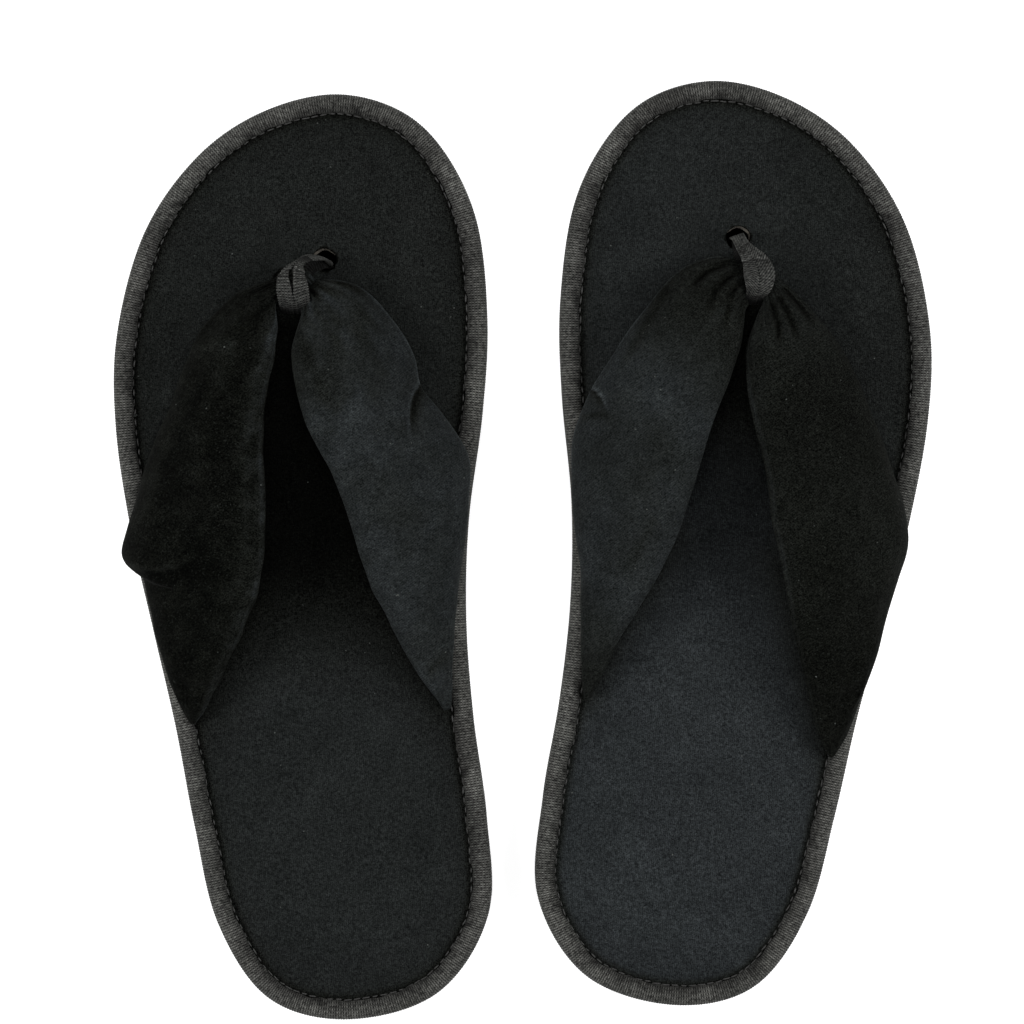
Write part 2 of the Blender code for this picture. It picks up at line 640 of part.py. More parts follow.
def thong_route(near, far):
    """The ribbon's middle line as (distance from the hole, height): tail, loop round the neck, tail."""
    neck_top = NECK_BOTTOM + NECK_HEIGHT
    ply = RIBBON / 2 + GAP
    run = RIBBON / 2 + 0.35 * MM
    over = neck_top + ply + 0.2 * MM
    under = (NECK_BOTTOM + FOOTBED_TOP) / 2
    middle = (near + far) / 2
    return [
        (-TAIL_LENGTH, TAIL_Z),
        (-TAIL_BEND, TAIL_Z),
        (-run - 0.6 * MM, TAIL_Z + 0.3 * MM),
        (-run, TAIL_Z + 2 * MM),
        (-run, FOOTBED_TOP),
        (0.4 * near, NECK_BOTTOM + 0.75 * NECK_HEIGHT),
        (near + 1 * MM, over + 0.6 * MM),
        (middle, over + 0.4 * MM),
        (far - 1 * MM, over - 0.2 * MM),
        (far + ply + 1.0 * MM, NECK_BOTTOM + NECK_HEIGHT / 2),
        (far - 0.8 * MM, under + 0.3 * MM),
        (middle, under),
        (near - 1 * MM, under),
        (run + 0.9 * MM, under - 0.5 * MM),
        (run, FOOTBED_TOP - 1 * MM),
        (run, TAIL_Z + 2 * MM),
        (run + 0.6 * MM, TAIL_Z + 0.3 * MM),
        (TAIL_BEND, TAIL_Z),
        (TAIL_LENGTH, TAIL_Z),
    ]


def make_thong_loop(slipper):
    """Woven ribbon: its side view is a thin band, extruded to the ribbon's width."""
    hole, towards, near, far = thong_frame(slipper)
    line = catmull_rom(thong_route(near, far), 3, False)
    along = np.gradient(line, axis=0)
    along /= np.linalg.norm(along, axis=1)[:, None]
    aside = np.stack([-along[:, 1], along[:, 0]], 1) * RIBBON / 2
    outline = np.vstack([line + aside, (line - aside)[::-1]])
    bm = prism([outline], -RIBBON_WIDTH / 2, RIBBON_WIDTH / 2)
    stand = Matrix.Rotation(math.pi / 2, 3, "X")
    turn = Matrix.Rotation(math.atan2(towards[1], towards[0]), 3, "Z")
    bmesh.ops.rotate(bm, verts=bm.verts, cent=(0, 0, 0), matrix=turn @ stand)
    bmesh.ops.translate(bm, verts=bm.verts, vec=(*hole, 0))
    place(slipper, bm, f"{slipper}_thong_loop", RIBBON_FABRIC)


def make_thong_anchor_patch(slipper):
    """Patch under the ribbon's tails, let into the outsole."""
    hole, towards, _, _ = thong_frame(slipper)
    bm = bmesh.new()
    bmesh.ops.create_cube(bm, size=1)
    bmesh.ops.scale(bm, vec=PATCH, verts=bm.verts)
    heading = Matrix.Rotation(math.atan2(towards[1], towards[0]), 3, "Z")
    bmesh.ops.rotate(bm, verts=bm.verts, cent=(0, 0, 0), matrix=heading)
    bmesh.ops.translate(bm, verts=bm.verts, vec=(*hole, OUTSOLE_TOP - PATCH[2] / 2))
    place(slipper, bm, f"{slipper}_thong_anchor_patch", BOARD_BROWN)


def make_slipper(slipper):
    add_slipper_empties(slipper)
    for half in ("front", "rear"):
        make_outsole(slipper, half)
        make_midsole(slipper, half)
        make_insole_board(slipper, half)
        make_footbed(slipper, half)
        make_binding(slipper, half)
        make_binding_stitch(slipper, half)
    make_strap_cover(slipper)
    make_strap_pad(slipper, "medial")
    make_strap_pad(slipper, "lateral")
    make_thong_loop(slipper)
    make_thong_anchor_patch(slipper)


clear_scene()
PARTS = new_collection("spa_slippers")
CUTTERS = new_collection("cutters")
EMPTIES = {}
for slipper_name in SLIPPERS:
    make_slipper(slipper_name)
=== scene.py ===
"""Looks of a pair of black velvet thong slippers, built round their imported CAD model.

Metres, +Z up, +Y towards the toes. Each slipper is drawn in its own frame: u grows towards the little
toe, v towards the toes, z up from the floor.
"""

import json
import math

import bmesh
import bpy
import numpy as np
from mathutils import Matrix, Vector


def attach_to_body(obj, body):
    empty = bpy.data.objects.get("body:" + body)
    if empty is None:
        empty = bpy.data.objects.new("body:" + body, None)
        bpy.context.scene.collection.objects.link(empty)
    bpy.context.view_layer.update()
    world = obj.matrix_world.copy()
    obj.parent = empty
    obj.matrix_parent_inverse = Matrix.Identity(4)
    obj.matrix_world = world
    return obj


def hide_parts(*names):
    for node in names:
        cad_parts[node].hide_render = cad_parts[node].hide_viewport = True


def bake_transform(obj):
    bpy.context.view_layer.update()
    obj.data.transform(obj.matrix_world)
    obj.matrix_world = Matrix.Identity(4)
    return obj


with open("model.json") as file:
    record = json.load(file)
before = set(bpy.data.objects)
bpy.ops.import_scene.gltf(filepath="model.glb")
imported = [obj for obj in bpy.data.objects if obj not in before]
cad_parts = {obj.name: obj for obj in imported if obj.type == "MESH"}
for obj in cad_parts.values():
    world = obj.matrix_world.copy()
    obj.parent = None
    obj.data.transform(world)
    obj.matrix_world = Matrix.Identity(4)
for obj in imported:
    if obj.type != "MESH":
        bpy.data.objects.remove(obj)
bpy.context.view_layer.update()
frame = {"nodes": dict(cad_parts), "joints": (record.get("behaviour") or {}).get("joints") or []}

MM = 0.001

# Sole layers, as in the CAD model
OUTSOLE_TOP = 4.0 * MM
FOOTBED_BOTTOM = 9.1 * MM
FOOTBED_TOP = 11.1 * MM
RIM_INSET = 2.4 * MM
CORE_INSET = 1.2 * MM
TREAD_STEP = 1.5 * MM
TREAD_INSET = 7.5 * MM
GROOVE_WIDTH = 2.4 * MM
GROOVE_DEPTH = 1.0 * MM
GROOVE_PITCH = 19.0 * MM
GROOVES_PER_HALF = 4
HOLE_RADIUS = 3.5 * MM
FLEX_V = 46.0 * MM

# Strap neck, where the ribbon gathers it
NECK_MIDDLE_Z = 16.7
NECK_HEIGHT = 7.0
NECK_HALF_LENGTH = 4.2
SECTION_FULLNESS = 0.8
STRAP_STEP = 0.75 * MM
STRAP_AROUND = 176
STRAP_TOP_SHARE = 0.7

# Sole outline, (u, v) in millimetres, from the toe round the outer side to the heel and back
SOLE_OUTLINE = [
    (-12, 140.2), (10.5, 135), (30, 122), (46.2, 100), (55.4, 70), (56.8, 42),
    (53.2, 10), (47.5, -20), (41.6, -50), (36.9, -80), (30.7, -110), (16.1, -133),
    (-8, -140.2), (-35.2, -133), (-51.3, -110), (-51.8, -80), (-48.8, -50), (-47.6, -20),
    (-49.4, 10), (-54.6, 42), (-57.0, 70), (-54.8, 100), (-45.4, 122), (-31.8, 135),
]

# Strap arms from the thong to the sewn end. Each row crosses the arm: outer edge (u, v, z), inner edge
# (u, v, z), thickness, and how far its middle bulges up, in millimetres.
LEFT_LATERAL = [
    ((6.4, 85.0, 17.4), (7.0, 75.4, 18.6), 7.4, 0.3),
    ((12.0, 82.8, 17.4), (6.0, 71.0, 20.6), 8.0, 0.8),
    ((19.0, 79.4, 17.4), (6.3, 66.5, 23.4), 8.4, 1.4),
    ((27.5, 71.5, 17.6), (7.3, 59.3, 26.8), 8.8, 2.2),
    ((32.2, 64.0, 17.6), (9.2, 51.5, 29.2), 9.0, 2.8),
    ((36.4, 54.0, 17.5), (10.7, 43.5, 31.0), 9.0, 3.2),
    ((40.9, 43.0, 17.1), (11.2, 33.6, 32.8), 9.0, 3.6),
    ((46.4, 31.0, 16.8), (11.0, 24.4, 34.0), 9.0, 3.8),
    ((51.1, 17.0, 16.5), (11.0, 14.2, 34.5), 9.0, 4.0),
    ((54.8, 6.6, 16.2), (11.8, 2.6, 33.9), 9.0, 4.0),
    ((54.4, 1.0, 16.0), (13.0, -3.6, 33.0), 9.0, 4.0),
    ((49.4, -3.4, 15.7), (14.8, -10.4, 31.2), 8.6, 3.6),
    ((47.4, -11.6, 15.6), (17.6, -17.4, 28.8), 8.0, 3.0),
    ((45.6, -22.0, 15.6), (21.8, -26.0, 25.0), 7.2, 2.3),
    ((42.6, -33.6, 15.4), (27.4, -36.0, 20.0), 5.9, 1.4),
    ((39.6, -42.6, 14.6), (31.8, -44.2, 16.4), 4.2, 0.6),
    ((36.8, -48.4, 13.0), (35.2, -48.8, 13.2), 1.8, 0.0),
]
LEFT_MEDIAL = [
    ((-9.4, 83.8, 17.4), (-1.2, 73.6, 18.6), 7.4, 0.3),
    ((-14.0, 83.0, 17.4), (0.6, 68.2, 21.0), 8.0, 0.8),
    ((-19.6, 80.6, 17.4), (2.2, 63.0, 23.8), 8.4, 1.4),
    ((-25.4, 74.6, 17.6), (2.0, 57.8, 26.6), 8.8, 2.1),
    ((-30.6, 67.4, 17.6), (0.8, 51.6, 29.0), 9.0, 2.8),
    ((-34.4, 59.4, 17.6), (-0.6, 45.0, 31.4), 9.0, 3.2),
    ((-36.2, 51.2, 17.3), (-2.6, 38.6, 33.0), 9.0, 3.6),
    ((-41.0, 43.6, 17.0), (-6.2, 31.4, 34.2), 9.0, 3.8),
    ((-46.6, 35.2, 16.7), (-9.8, 24.2, 34.6), 9.0, 4.0),
    ((-50.0, 26.6, 16.3), (-12.6, 16.4, 34.4), 9.0, 4.0),
    ((-49.4, 16.6, 15.9), (-15.2, 7.0, 33.2), 9.0, 4.0),
    ((-48.0, 5.4, 15.6), (-18.2, -4.0, 30.6), 8.4, 3.3),
    ((-45.8, -7.4, 15.6), (-22.0, -14.4, 26.8), 7.4, 2.4),
    ((-44.0, -21.0, 15.4), (-27.2, -25.8, 22.0), 6.4, 1.6),
    ((-42.8, -32.6, 15.3), (-32.6, -35.4, 18.2), 5.0, 0.8),
    ((-42.6, -40.6, 14.6), (-36.6, -42.0, 16.2), 4.0, 0.4),
    ((-42.0, -46.6, 13.2), (-39.6, -47.2, 13.4), 2.0, 0.0),
]
RIGHT_LATERAL = [
    ((8.8, 81.0, 17.4), (3.4, 71.4, 18.8), 7.4, 0.3),
    ((13.4, 77.4, 17.4), (0.8, 65.6, 21.6), 8.0, 0.9),
    ((18.4, 72.6, 17.4), (-0.7, 59.0, 24.4), 8.4, 1.5),
    ((24.4, 66.2, 17.6), (-0.1, 51.6, 27.0), 8.8, 2.3),
    ((31.0, 57.2, 17.6), (1.8, 42.8, 29.6), 9.0, 3.0),
    ((37.2, 45.0, 17.2), (5.2, 31.6, 32.2), 9.0, 3.6),
    ((43.8, 31.6, 16.8), (8.4, 20.0, 34.2), 9.0, 4.0),
    ((49.4, 19.2, 16.3), (10.6, 8.2, 34.6), 9.0, 4.0),
    ((52.7, 6.4, 15.9), (13.6, -3.0, 33.4), 8.7, 3.8),
    ((50.6, -5.6, 15.6), (16.6, -13.8, 31.0), 8.2, 3.4),
    ((47.4, -17.6, 15.6), (19.8, -25.0, 27.8), 7.8, 2.9),
    ((45.4, -29.6, 15.5), (24.0, -37.4, 23.4), 6.8, 2.0),
    ((42.0, -42.6, 15.4), (28.0, -49.8, 18.8), 5.4, 1.1),
    ((38.6, -53.6, 14.4), (30.8, -57.0, 16.2), 4.0, 0.5),
    ((35.0, -61.2, 13.0), (33.6, -61.6, 13.2), 1.8, 0.0),
]
RIGHT_MEDIAL = [
    ((-8.6, 86.8, 17.4), (-1.4, 70.6, 18.8), 7.4, 0.3),
    ((-14.6, 85.8, 17.4), (-1.2, 65.4, 21.6), 8.0, 0.9),
    ((-21.4, 82.2, 17.4), (-1.8, 59.8, 24.6), 8.4, 1.5),
    ((-26.4, 76.0, 17.6), (-3.8, 53.2, 27.4), 8.8, 2.3),
    ((-31.4, 68.4, 17.6), (-5.8, 46.6, 30.0), 9.0, 3.0),
    ((-38.0, 58.0, 17.3), (-8.4, 39.4, 32.0), 9.0, 3.5),
    ((-44.6, 46.0, 17.0), (-10.6, 30.8, 33.8), 9.0, 3.8),
    ((-48.6, 36.0, 16.7), (-12.4, 22.0, 34.6), 9.0, 4.0),
    ((-50.4, 26.0, 16.3), (-15.0, 12.0, 34.2), 9.0, 4.0),
    ((-49.4, 14.6, 15.9), (-17.8, 1.4, 32.4), 8.8, 3.6),
    ((-47.4, 3.0, 15.6), (-21.4, -8.2, 29.6), 8.2, 3.0),
    ((-44.8, -9.0, 15.6), (-26.0, -17.8, 25.4), 7.4, 2.3),
    ((-43.8, -22.6, 15.4), (-31.2, -28.2, 20.8), 6.2, 1.5),
    ((-43.2, -35.0, 15.3), (-35.2, -38.2, 17.6), 4.8, 0.7),
    ((-42.6, -43.2, 14.4), (-38.2, -44.8, 15.4), 3.6, 0.3),
    ((-41.6, -48.8, 13.0), (-40.4, -49.2, 13.2), 1.8, 0.0),
]

# For each slipper: side of the little toe, thong hole, neck edges and strap arms
SLIPPERS = {
    "left": {
        "side": -1,
        "hole": (-8.3, 90.0),
        "neck": ((-4.0, 85.6), (4.2, 77.2)),
        "lateral": LEFT_LATERAL,
        "medial": LEFT_MEDIAL,
    },
    "right": {
        "side": 1,
        "hole": (-4.6, 93.1),
        "neck": ((-1.8, 85.8), (3.0, 73.2)),
        "lateral": RIGHT_LATERAL,
        "medial": RIGHT_MEDIAL,
    },
}
SEEDS = {
    "left": {"bed": 11, "tape": 31, "stitches": 5, "strap": 61},
    "right": {"bed": 23, "tape": 47, "stitches": 6, "strap": 83},
}


# ---------------------------------------------------------------- lines and outlines


def catmull_rom(points, steps, closed=False):
    """Smooth line through points of any dimension, with steps samples for each stretch."""
    p = np.array(points, float)
    if closed:
        p = np.vstack([p[-1], p, p[0], p[1]])
    else:
        p = np.vstack([2 * p[0] - p[1], p, 2 * p[-1] - p[-2]])
    t = np.linspace(0, 1, steps, endpoint=False)[:, None]
    line = []
    for a, b, c, d in zip(p, p[1:], p[2:], p[3:]):
        bend = (2 * a - 5 * b + 4 * c - d) * t**2 + (3 * b - a - 3 * c + d) * t**3
        line.append(b + 0.5 * ((c - a) * t + bend))
    if not closed:
        line.append(p[-2:-1])
    return np.vstack(line)


def travelled(line):
    return np.r_[0, np.cumsum(np.linalg.norm(np.diff(line, axis=0), axis=1))]


def unit(directions):
    return directions / np.linalg.norm(directions, axis=1)[:, None]


def resampled(line, places, distances):
    """The rows of a line at the given distances along it."""
    return np.stack([np.interp(distances, places, line[:, k]) for k in range(line.shape[1])], 1)


def sole_outline(inset, count):
    """The sole's outline with points the same distance apart, moved inwards by inset."""
    smooth = catmull_rom(SOLE_OUTLINE, 60, True) * MM
    loop = np.vstack([smooth, smooth[:1]])
    places = travelled(loop)
    line = resampled(loop, places, np.linspace(0, places[-1], count, endpoint=False))
    along = unit(np.roll(line, -1, axis=0) - np.roll(line, 1, axis=0))
    return line + inset * np.stack([along[:, 1], -along[:, 0]], 1)


OUTLINE = sole_outline(0.0, 800)
OUTLINE_INWARDS = (sole_outline(1 * MM, 800) - OUTLINE) / MM


def distance_inside(points):
    """How far each point (u, v) lies inside the sole's outline, and its place along the outline."""
    points = np.asarray(points, float)
    depth = np.empty(len(points))
    nearest = np.empty(len(points), int)
    for first in range(0, len(points), 4000):
        part = points[first : first + 4000]
        squares = ((part[:, None, :] - OUTLINE[None]) ** 2).sum(2)
        best = squares.argmin(1)
        nearest[first : first + 4000] = best
        depth[first : first + 4000] = ((part - OUTLINE[best]) * OUTLINE_INWARDS[best]).sum(1)
    return depth, nearest


def smoothstep(x, low, high):
    t = np.clip((x - low) / (high - low), 0, 1)
    return t * t * (3 - 2 * t)


def bell(x, middle, width):
    """1 at the middle, fading to nothing on both sides."""
    return np.exp(-(((x - middle) / width) ** 2))


def waves(x, seed, longest, shortest, count=7):
    """Smooth irregular wobble between about -1 and 1 along a distance."""
    rng = np.random.default_rng(seed)
    lengths = np.geomspace(longest, shortest, count)
    phases = rng.uniform(0, 2 * math.pi, count)
    weights = rng.uniform(0.5, 1, count)
    total = sum(w * np.sin(2 * math.pi * x / l + p) for w, l, p in zip(weights, lengths, phases))
    return total / math.sqrt((weights**2).sum()) / 1.4


def plane_waves(points, seed, longest, shortest, count=14):
    """Smooth irregular bumps between about -1 and 1 over a plane."""
    rng = np.random.default_rng(seed)
    total = np.zeros(len(points))
    power = 0.0
    for length in np.geomspace(longest, shortest, count):
        heading = rng.uniform(0, math.pi)
        phase = rng.uniform(0, 2 * math.pi)
        weight = (length / longest) ** 0.5
        reach = points[:, 0] * math.cos(heading) + points[:, 1] * math.sin(heading)
        total += weight * np.sin(2 * math.pi * reach / length + phase)
        power += weight**2 / 2
    return total / math.sqrt(power) / 2


# ---------------------------------------------------------------- placing and meshes


def setting_of(slipper):
    """Turn and centre of a slipper, from the hinge its sole bends on."""
    joint = next(j for j in frame["joints"] if j["name"] == f"{slipper}_sole_flex")
    turn = math.atan2(-joint["axis"][1], -joint["axis"][0])
    place = Vector(joint["pos_m"][:2]) - Matrix.Rotation(turn, 2) @ Vector((0, FLEX_V))
    return turn, place


def to_world(slipper, points):
    """Points (u, v, z) of one slipper in the row frame."""
    points = np.asarray(points, float).reshape(-1, 3)
    turn, place = setting_of(slipper)
    x = points[:, 0] * SLIPPERS[slipper]["side"]
    y = points[:, 1]
    return np.stack(
        [
            place[0] + x * math.cos(turn) - y * math.sin(turn),
            place[1] + x * math.sin(turn) + y * math.cos(turn),
            points[:, 2],
        ],
        1,
    )


def ring_faces(rows, columns, closed=False, first=0):
    """Faces between rings of vertices, numbered ring by ring; closed joins the last ring to the first."""
    i = np.arange(rows if closed else rows - 1)[:, None]
    j = np.arange(columns)[None, :]
    following_i = (i + 1) % rows
    following_j = (j + 1) % columns
    corners = [
        i * columns + j,
        i * columns + following_j,
        following_i * columns + following_j,
        following_i * columns + j,
    ]
    return (np.stack(np.broadcast_arrays(*corners), -1).reshape(-1, 4) + first).tolist()


def tube_faces(rings, first=0):
    """Faces of a tube, given its rings of points, with both ends closed."""
    rows, around = rings.shape[:2]
    faces = ring_faces(rows, around, first=first)
    for end in (first, first + (rows - 1) * around):
        faces.append(list(range(end, end + around)))
    return faces


def add_object(name, data):
    obj = bpy.data.objects.new(name, data)
    bpy.context.scene.collection.objects.link(obj)
    return obj


def closed_mesh(name, points, faces):
    """Mesh with all its faces looking outwards."""
    mesh = bpy.data.meshes.new(name)
    mesh.from_pydata(points.tolist(), [], faces)
    bm = bmesh.new()
    bm.from_mesh(mesh)
    bmesh.ops.recalc_face_normals(bm, faces=bm.faces)
    bm.to_mesh(mesh)
    bm.free()
    return mesh


def make_piece(slipper, name, points, faces, look, values=None):
    """Smooth mesh object from points (u, v, z); values are extra numbers kept on its points."""
    mesh = closed_mesh(f"{slipper}_{name}", to_world(slipper, points), faces)
    for key, numbers in (values or {}).items():
        attribute = mesh.attributes.new(key, "FLOAT", "POINT")
        attribute.data.foreach_set("value", np.asarray(numbers, np.float32))
    mesh.polygons.foreach_set("use_smooth", np.ones(len(mesh.polygons), bool))
    mesh.materials.append(look)
    return add_object(f"{slipper}_{name}_look", mesh)


def cut(obj, cutter):
    """Take the cutter away from a piece for good."""
    step = obj.modifiers.new("cut", "BOOLEAN")
    step.operation = "DIFFERENCE"
    step.solver = "EXACT"
    step.object = cutter
    evaluated = obj.evaluated_get(bpy.context.evaluated_depsgraph_get())
    mesh = bpy.data.meshes.new_from_object(evaluated)
    obj.modifiers.clear()
    obj.data = mesh
    bpy.data.objects.remove(cutter, do_unlink=True)
    return obj


def keep_rest(obj):
    """Remember where each point lies at rest, so that the weave sticks to the piece."""
    places = np.empty(len(obj.data.vertices) * 3, np.float32)
    obj.data.vertices.foreach_get("co", places)
    attribute = obj.data.attributes.new("rest", "FLOAT_VECTOR", "POINT")
    attribute.data.foreach_set("vector", places)


def halves(name):
    """CAD nodes of a sole layer, which is cut across at the ball of the foot."""
    return (f"{name}_front", f"{name}_rear")


def finish_piece(slipper, obj, nodes, bends=True):
    """Keep a piece's rest places and hide the CAD nodes it stands for; with bends it is baked in place,
    else it is attached to the forefoot body.
    """
    keep_rest(obj)
    if bends:
        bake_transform(obj)
    else:
        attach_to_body(obj, f"{slipper}_forefoot")
    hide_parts(*[f"{slipper}_{node}" for node in nodes])
    return obj


# ---------------------------------------------------------------- materials


class Look:
    """A procedural material: a Principled shader and the nodes that feed it."""

    def __init__(self, name, roughness=0.9, specular=0.1, sheen=0.0, sheen_color=(1, 1, 1)):
        self.material = bpy.data.materials.new(name)
        self.material.use_nodes = True
        self.tree = self.material.node_tree
        self.shader = self.tree.nodes["Principled BSDF"]
        self.shader.inputs["Roughness"].default_value = roughness
        self.shader.inputs["Specular IOR Level"].default_value = specular
        self.shader.inputs["Sheen Weight"].default_value = sheen
        self.shader.inputs["Sheen Roughness"].default_value = 0.45
        self.shader.inputs["Sheen Tint"].default_value = (*sheen_color, 1)
        self.rest = self.node("ShaderNodeAttribute", attribute_name="rest").outputs["Vector"]

    def node(self, kind, links=None, **settings):
        made = self.tree.nodes.new(kind)
        for key, value in settings.items():
            setattr(made, key, value)
        for socket, value in (links or {}).items():
            if isinstance(value, bpy.types.NodeSocket):
                self.tree.links.new(value, made.inputs[socket])
            else:
                made.inputs[socket].default_value = value
        return made

    def attribute(self, name):
        return self.node("ShaderNodeAttribute", attribute_name=name).outputs["Fac"]

    def noise(self, scale, detail=2.0, roughness=0.5, vector=None):
        links = {"Vector": vector or self.rest, "Scale": scale, "Detail": detail}
        links["Roughness"] = roughness
        return self.node("ShaderNodeTexNoise", links).outputs["Fac"]

    def math(self, operation, a, b=0.0):
        return self.node("ShaderNodeMath", {0: a, 1: b}, operation=operation).outputs[0]

    def times(self, *values):
        product = values[0]
        for value in values[1:]:
            product = self.math("MULTIPLY", product, value)
        return product

    def wave(self, value, pitch):
        return self.math("SINE", self.times(value, 2 * math.pi / pitch))

    def cells(self, scale):
        links = {"Vector": self.rest, "Scale": scale}
        return self.node("ShaderNodeTexVoronoi", links).outputs["Distance"]

    def remap(self, value, low, high, to_low, to_high):
        links = {"Value": value, "From Min": low, "From Max": high, "To Min": to_low}
        links["To Max"] = to_high
        return self.node("ShaderNodeMapRange", links).outputs["Result"]

    def spread(self, noise, low, high):
        """A noise's usual range, from 0.3 to 0.7, made to run from low to high."""
        return self.remap(noise, 0.3, 0.7, low, high)

    def mix(self, share, a, b, blend="MIX"):
        made = self.node("ShaderNodeMix", data_type="RGBA", blend_type=blend)
        for socket, value in (("Factor", share), ("A", a), ("B", b)):
            kind = "VALUE" if socket == "Factor" else "RGBA"
            target = next(s for s in made.inputs if s.name == socket and s.type == kind)
            if isinstance(value, bpy.types.NodeSocket):
                self.tree.links.new(value, target)
            else:
                target.default_value = value
        return next(s for s in made.outputs if s.type == "RGBA")

    def toned(self, color, strength):
        """A colour made darker or lighter by a number."""
        links = {"Red": strength, "Green": strength, "Blue": strength}
        grey = self.node("ShaderNodeCombineColor", links).outputs["Color"]
        return self.mix(1.0, (*color, 1), grey, "MULTIPLY")

    def bump(self, height, distance, strength=1.0, below=None):
        links = {"Height": height, "Distance": distance, "Strength": strength}
        if below is not None:
            links["Normal"] = below
        return self.node("ShaderNodeBump", links).outputs["Normal"]

    def finish(self, color, normal=None):
        self.tree.links.new(color, self.shader.inputs["Base Color"])
        if normal is not None:
            self.tree.links.new(normal, self.shader.inputs["Normal"])
        return self.material


def velvet(name, color, crush, lines, heading, fuzz):
    """Short black pile: grain, backing lines, blotches where the pile lies differently, lint, and painted
    light and shade kept on each piece.
    """
    look = Look(name, 1.0, 0.02, 0.02, (0.45, 0.47, 0.44))
    grain = look.noise(2500, 1.0, 0.6)
    tufts = look.noise(1100)
    patches = look.noise(210, 3.0, 0.6)
    blotch = look.noise(55, 4.0, 0.55)
    split = look.node("ShaderNodeSeparateXYZ", {0: look.rest})
    along = look.times(split.outputs["X"], math.cos(heading) * 2 * math.pi / lines)
    aside = look.times(split.outputs["Y"], math.sin(heading) * 2 * math.pi / lines)
    drift = look.times(look.noise(130), 6.0)
    row = look.math("SINE", look.math("ADD", look.math("ADD", along, aside), drift))
    # the pile's own tone together with painted light and shade, kept on each piece's points
    pile_light_and_shade = look.attribute("pile_light_and_shade")
    darkest = look.remap(pile_light_and_shade, 0.2, 0.9, -0.2, 0.45)
    strength = look.times(
        look.math("MAXIMUM", look.spread(grain, darkest, look.math("SUBTRACT", 2.0, darkest)), 0.0),
        look.spread(tufts, 0.62, 1.38),
        look.remap(row, -1.0, 1.0, 0.84, 1.16),
        look.spread(patches, 1 - crush, 1 + crush),
        look.spread(blotch, 0.86, 1.14),
        pile_light_and_shade,
    )
    turned_away = (1.0, 1.0, 0.80, 1)
    turned_to_light = (0.985, 1.035, 1.045, 1)
    tint = look.mix(look.remap(pile_light_and_shade, 0.25, 1.3, 0.0, 1.0), turned_away, turned_to_light)
    base = look.mix(1.0, look.toned(color, strength), tint, "MULTIPLY")
    fibres = look.remap(look.noise(1700, 1.0), 0.62, 0.72, 0.0, fuzz)
    base = look.mix(fibres, base, (0.030, 0.034, 0.030, 1))
    lint = look.remap(look.noise(700, 1.0), 0.79, 0.83, 0.0, 1.0)
    base = look.mix(lint, base, (0.07, 0.075, 0.07, 1))
    height = look.math("ADD", grain, look.times(tufts, 1.5))
    return look.finish(base, look.bump(height, 0.25 * MM, 0.5))


def woven_tape(name, color, along_pitch, across_pitch):
    """Ribbed tape: threads over the ribs, with the yarn's own unevenness."""
    look = Look(name, 0.85, 0.12, 0.04, (0.5, 0.5, 0.48))
    rib = look.wave(look.attribute("along"), along_pitch)
    weave = look.times(rib, look.wave(look.attribute("across"), across_pitch))
    yarn = look.noise(1100, 2.0, 0.6)
    wear = look.noise(60, 3.0)
    raised = look.math("ADD", look.remap(rib, -1.0, 1.0, 0.3, 1.6), look.times(weave, 0.6))
    strength = look.times(
        look.math("MAXIMUM", raised, 0.08),
        look.spread(yarn, 0.25, 1.75),
        look.spread(wear, 0.72, 1.28),
        look.attribute("shade"),
    )
    height = look.math("ADD", look.times(weave, 0.5), yarn)
    return look.finish(look.toned(color, strength), look.bump(height, 0.12 * MM, 0.7))


def foam(name, color):
    """Foam with small open cells."""
    look = Look(name, 0.95, 0.2)
    cells = look.cells(1500.0)
    strength = look.times(look.remap(cells, 0.0, 0.6, 0.6, 1.12), look.spread(look.noise(90), 0.9, 1.08))
    return look.finish(look.toned(color, strength), look.bump(cells, 0.2 * MM, 0.6))


def outsole_rubber(name, color):
    """Matte EVA with fine pores, a pebbled surface and worn patches."""
    look = Look(name, 0.7, 0.35)
    pores = look.cells(900.0)
    wear = look.noise(35, 4.0, 0.6)
    strength = look.times(look.remap(pores, 0.0, 0.5, 0.6, 1.25), look.spread(wear, 0.8, 1.35))
    look.tree.links.new(look.spread(wear, 0.6, 0.82), look.shader.inputs["Roughness"])
    fine = look.bump(pores, 0.12 * MM, 0.5)
    pebbled = look.bump(look.cells(420.0), 0.3 * MM, 0.45, fine)
    return look.finish(look.toned(color, strength), pebbled)


def fibre_board(name, color):
    """Pressed fibre board with stretched flecks."""
    look = Look(name, 0.9, 0.25)
    squeezed = look.node("ShaderNodeVectorMath", {0: look.rest, 1: (1.0, 0.25, 1.0)})
    squeezed.operation = "MULTIPLY"
    flecks = look.noise(900, 3.0, 0.7, squeezed.outputs["Vector"])
    base = look.toned(color, look.spread(flecks, 0.65, 1.3))
    return look.finish(base, look.bump(flecks, 0.15 * MM, 0.6))


def coarse_cloth(name, color, pitch):
    """Plain weave in the row frame's x and y."""
    look = Look(name, 0.9, 0.2)
    place = look.node("ShaderNodeTexCoord").outputs["Object"]
    split = look.node("ShaderNodeSeparateXYZ", {0: place})
    weave = look.times(look.wave(split.outputs["X"], pitch), look.wave(split.outputs["Y"], pitch))
    fuzz = look.noise(1400, 2.0, 0.6, place)
    strength = look.times(look.remap(weave, -1.0, 1.0, 0.7, 1.2), look.spread(fuzz, 0.8, 1.2))
    height = look.math("ADD", weave, fuzz)
    return look.finish(look.toned(color, strength), look.bump(height, 0.2 * MM, 0.7))


def plied_thread(name, color):
    """Twisted sewing thread."""
    look = Look(name, 0.6, 0.4)
    twist = look.noise(2600)
    return look.finish(look.toned(color, look.spread(twist, 0.5, 1.5)), look.bump(twist, 0.08 * MM, 0.6))


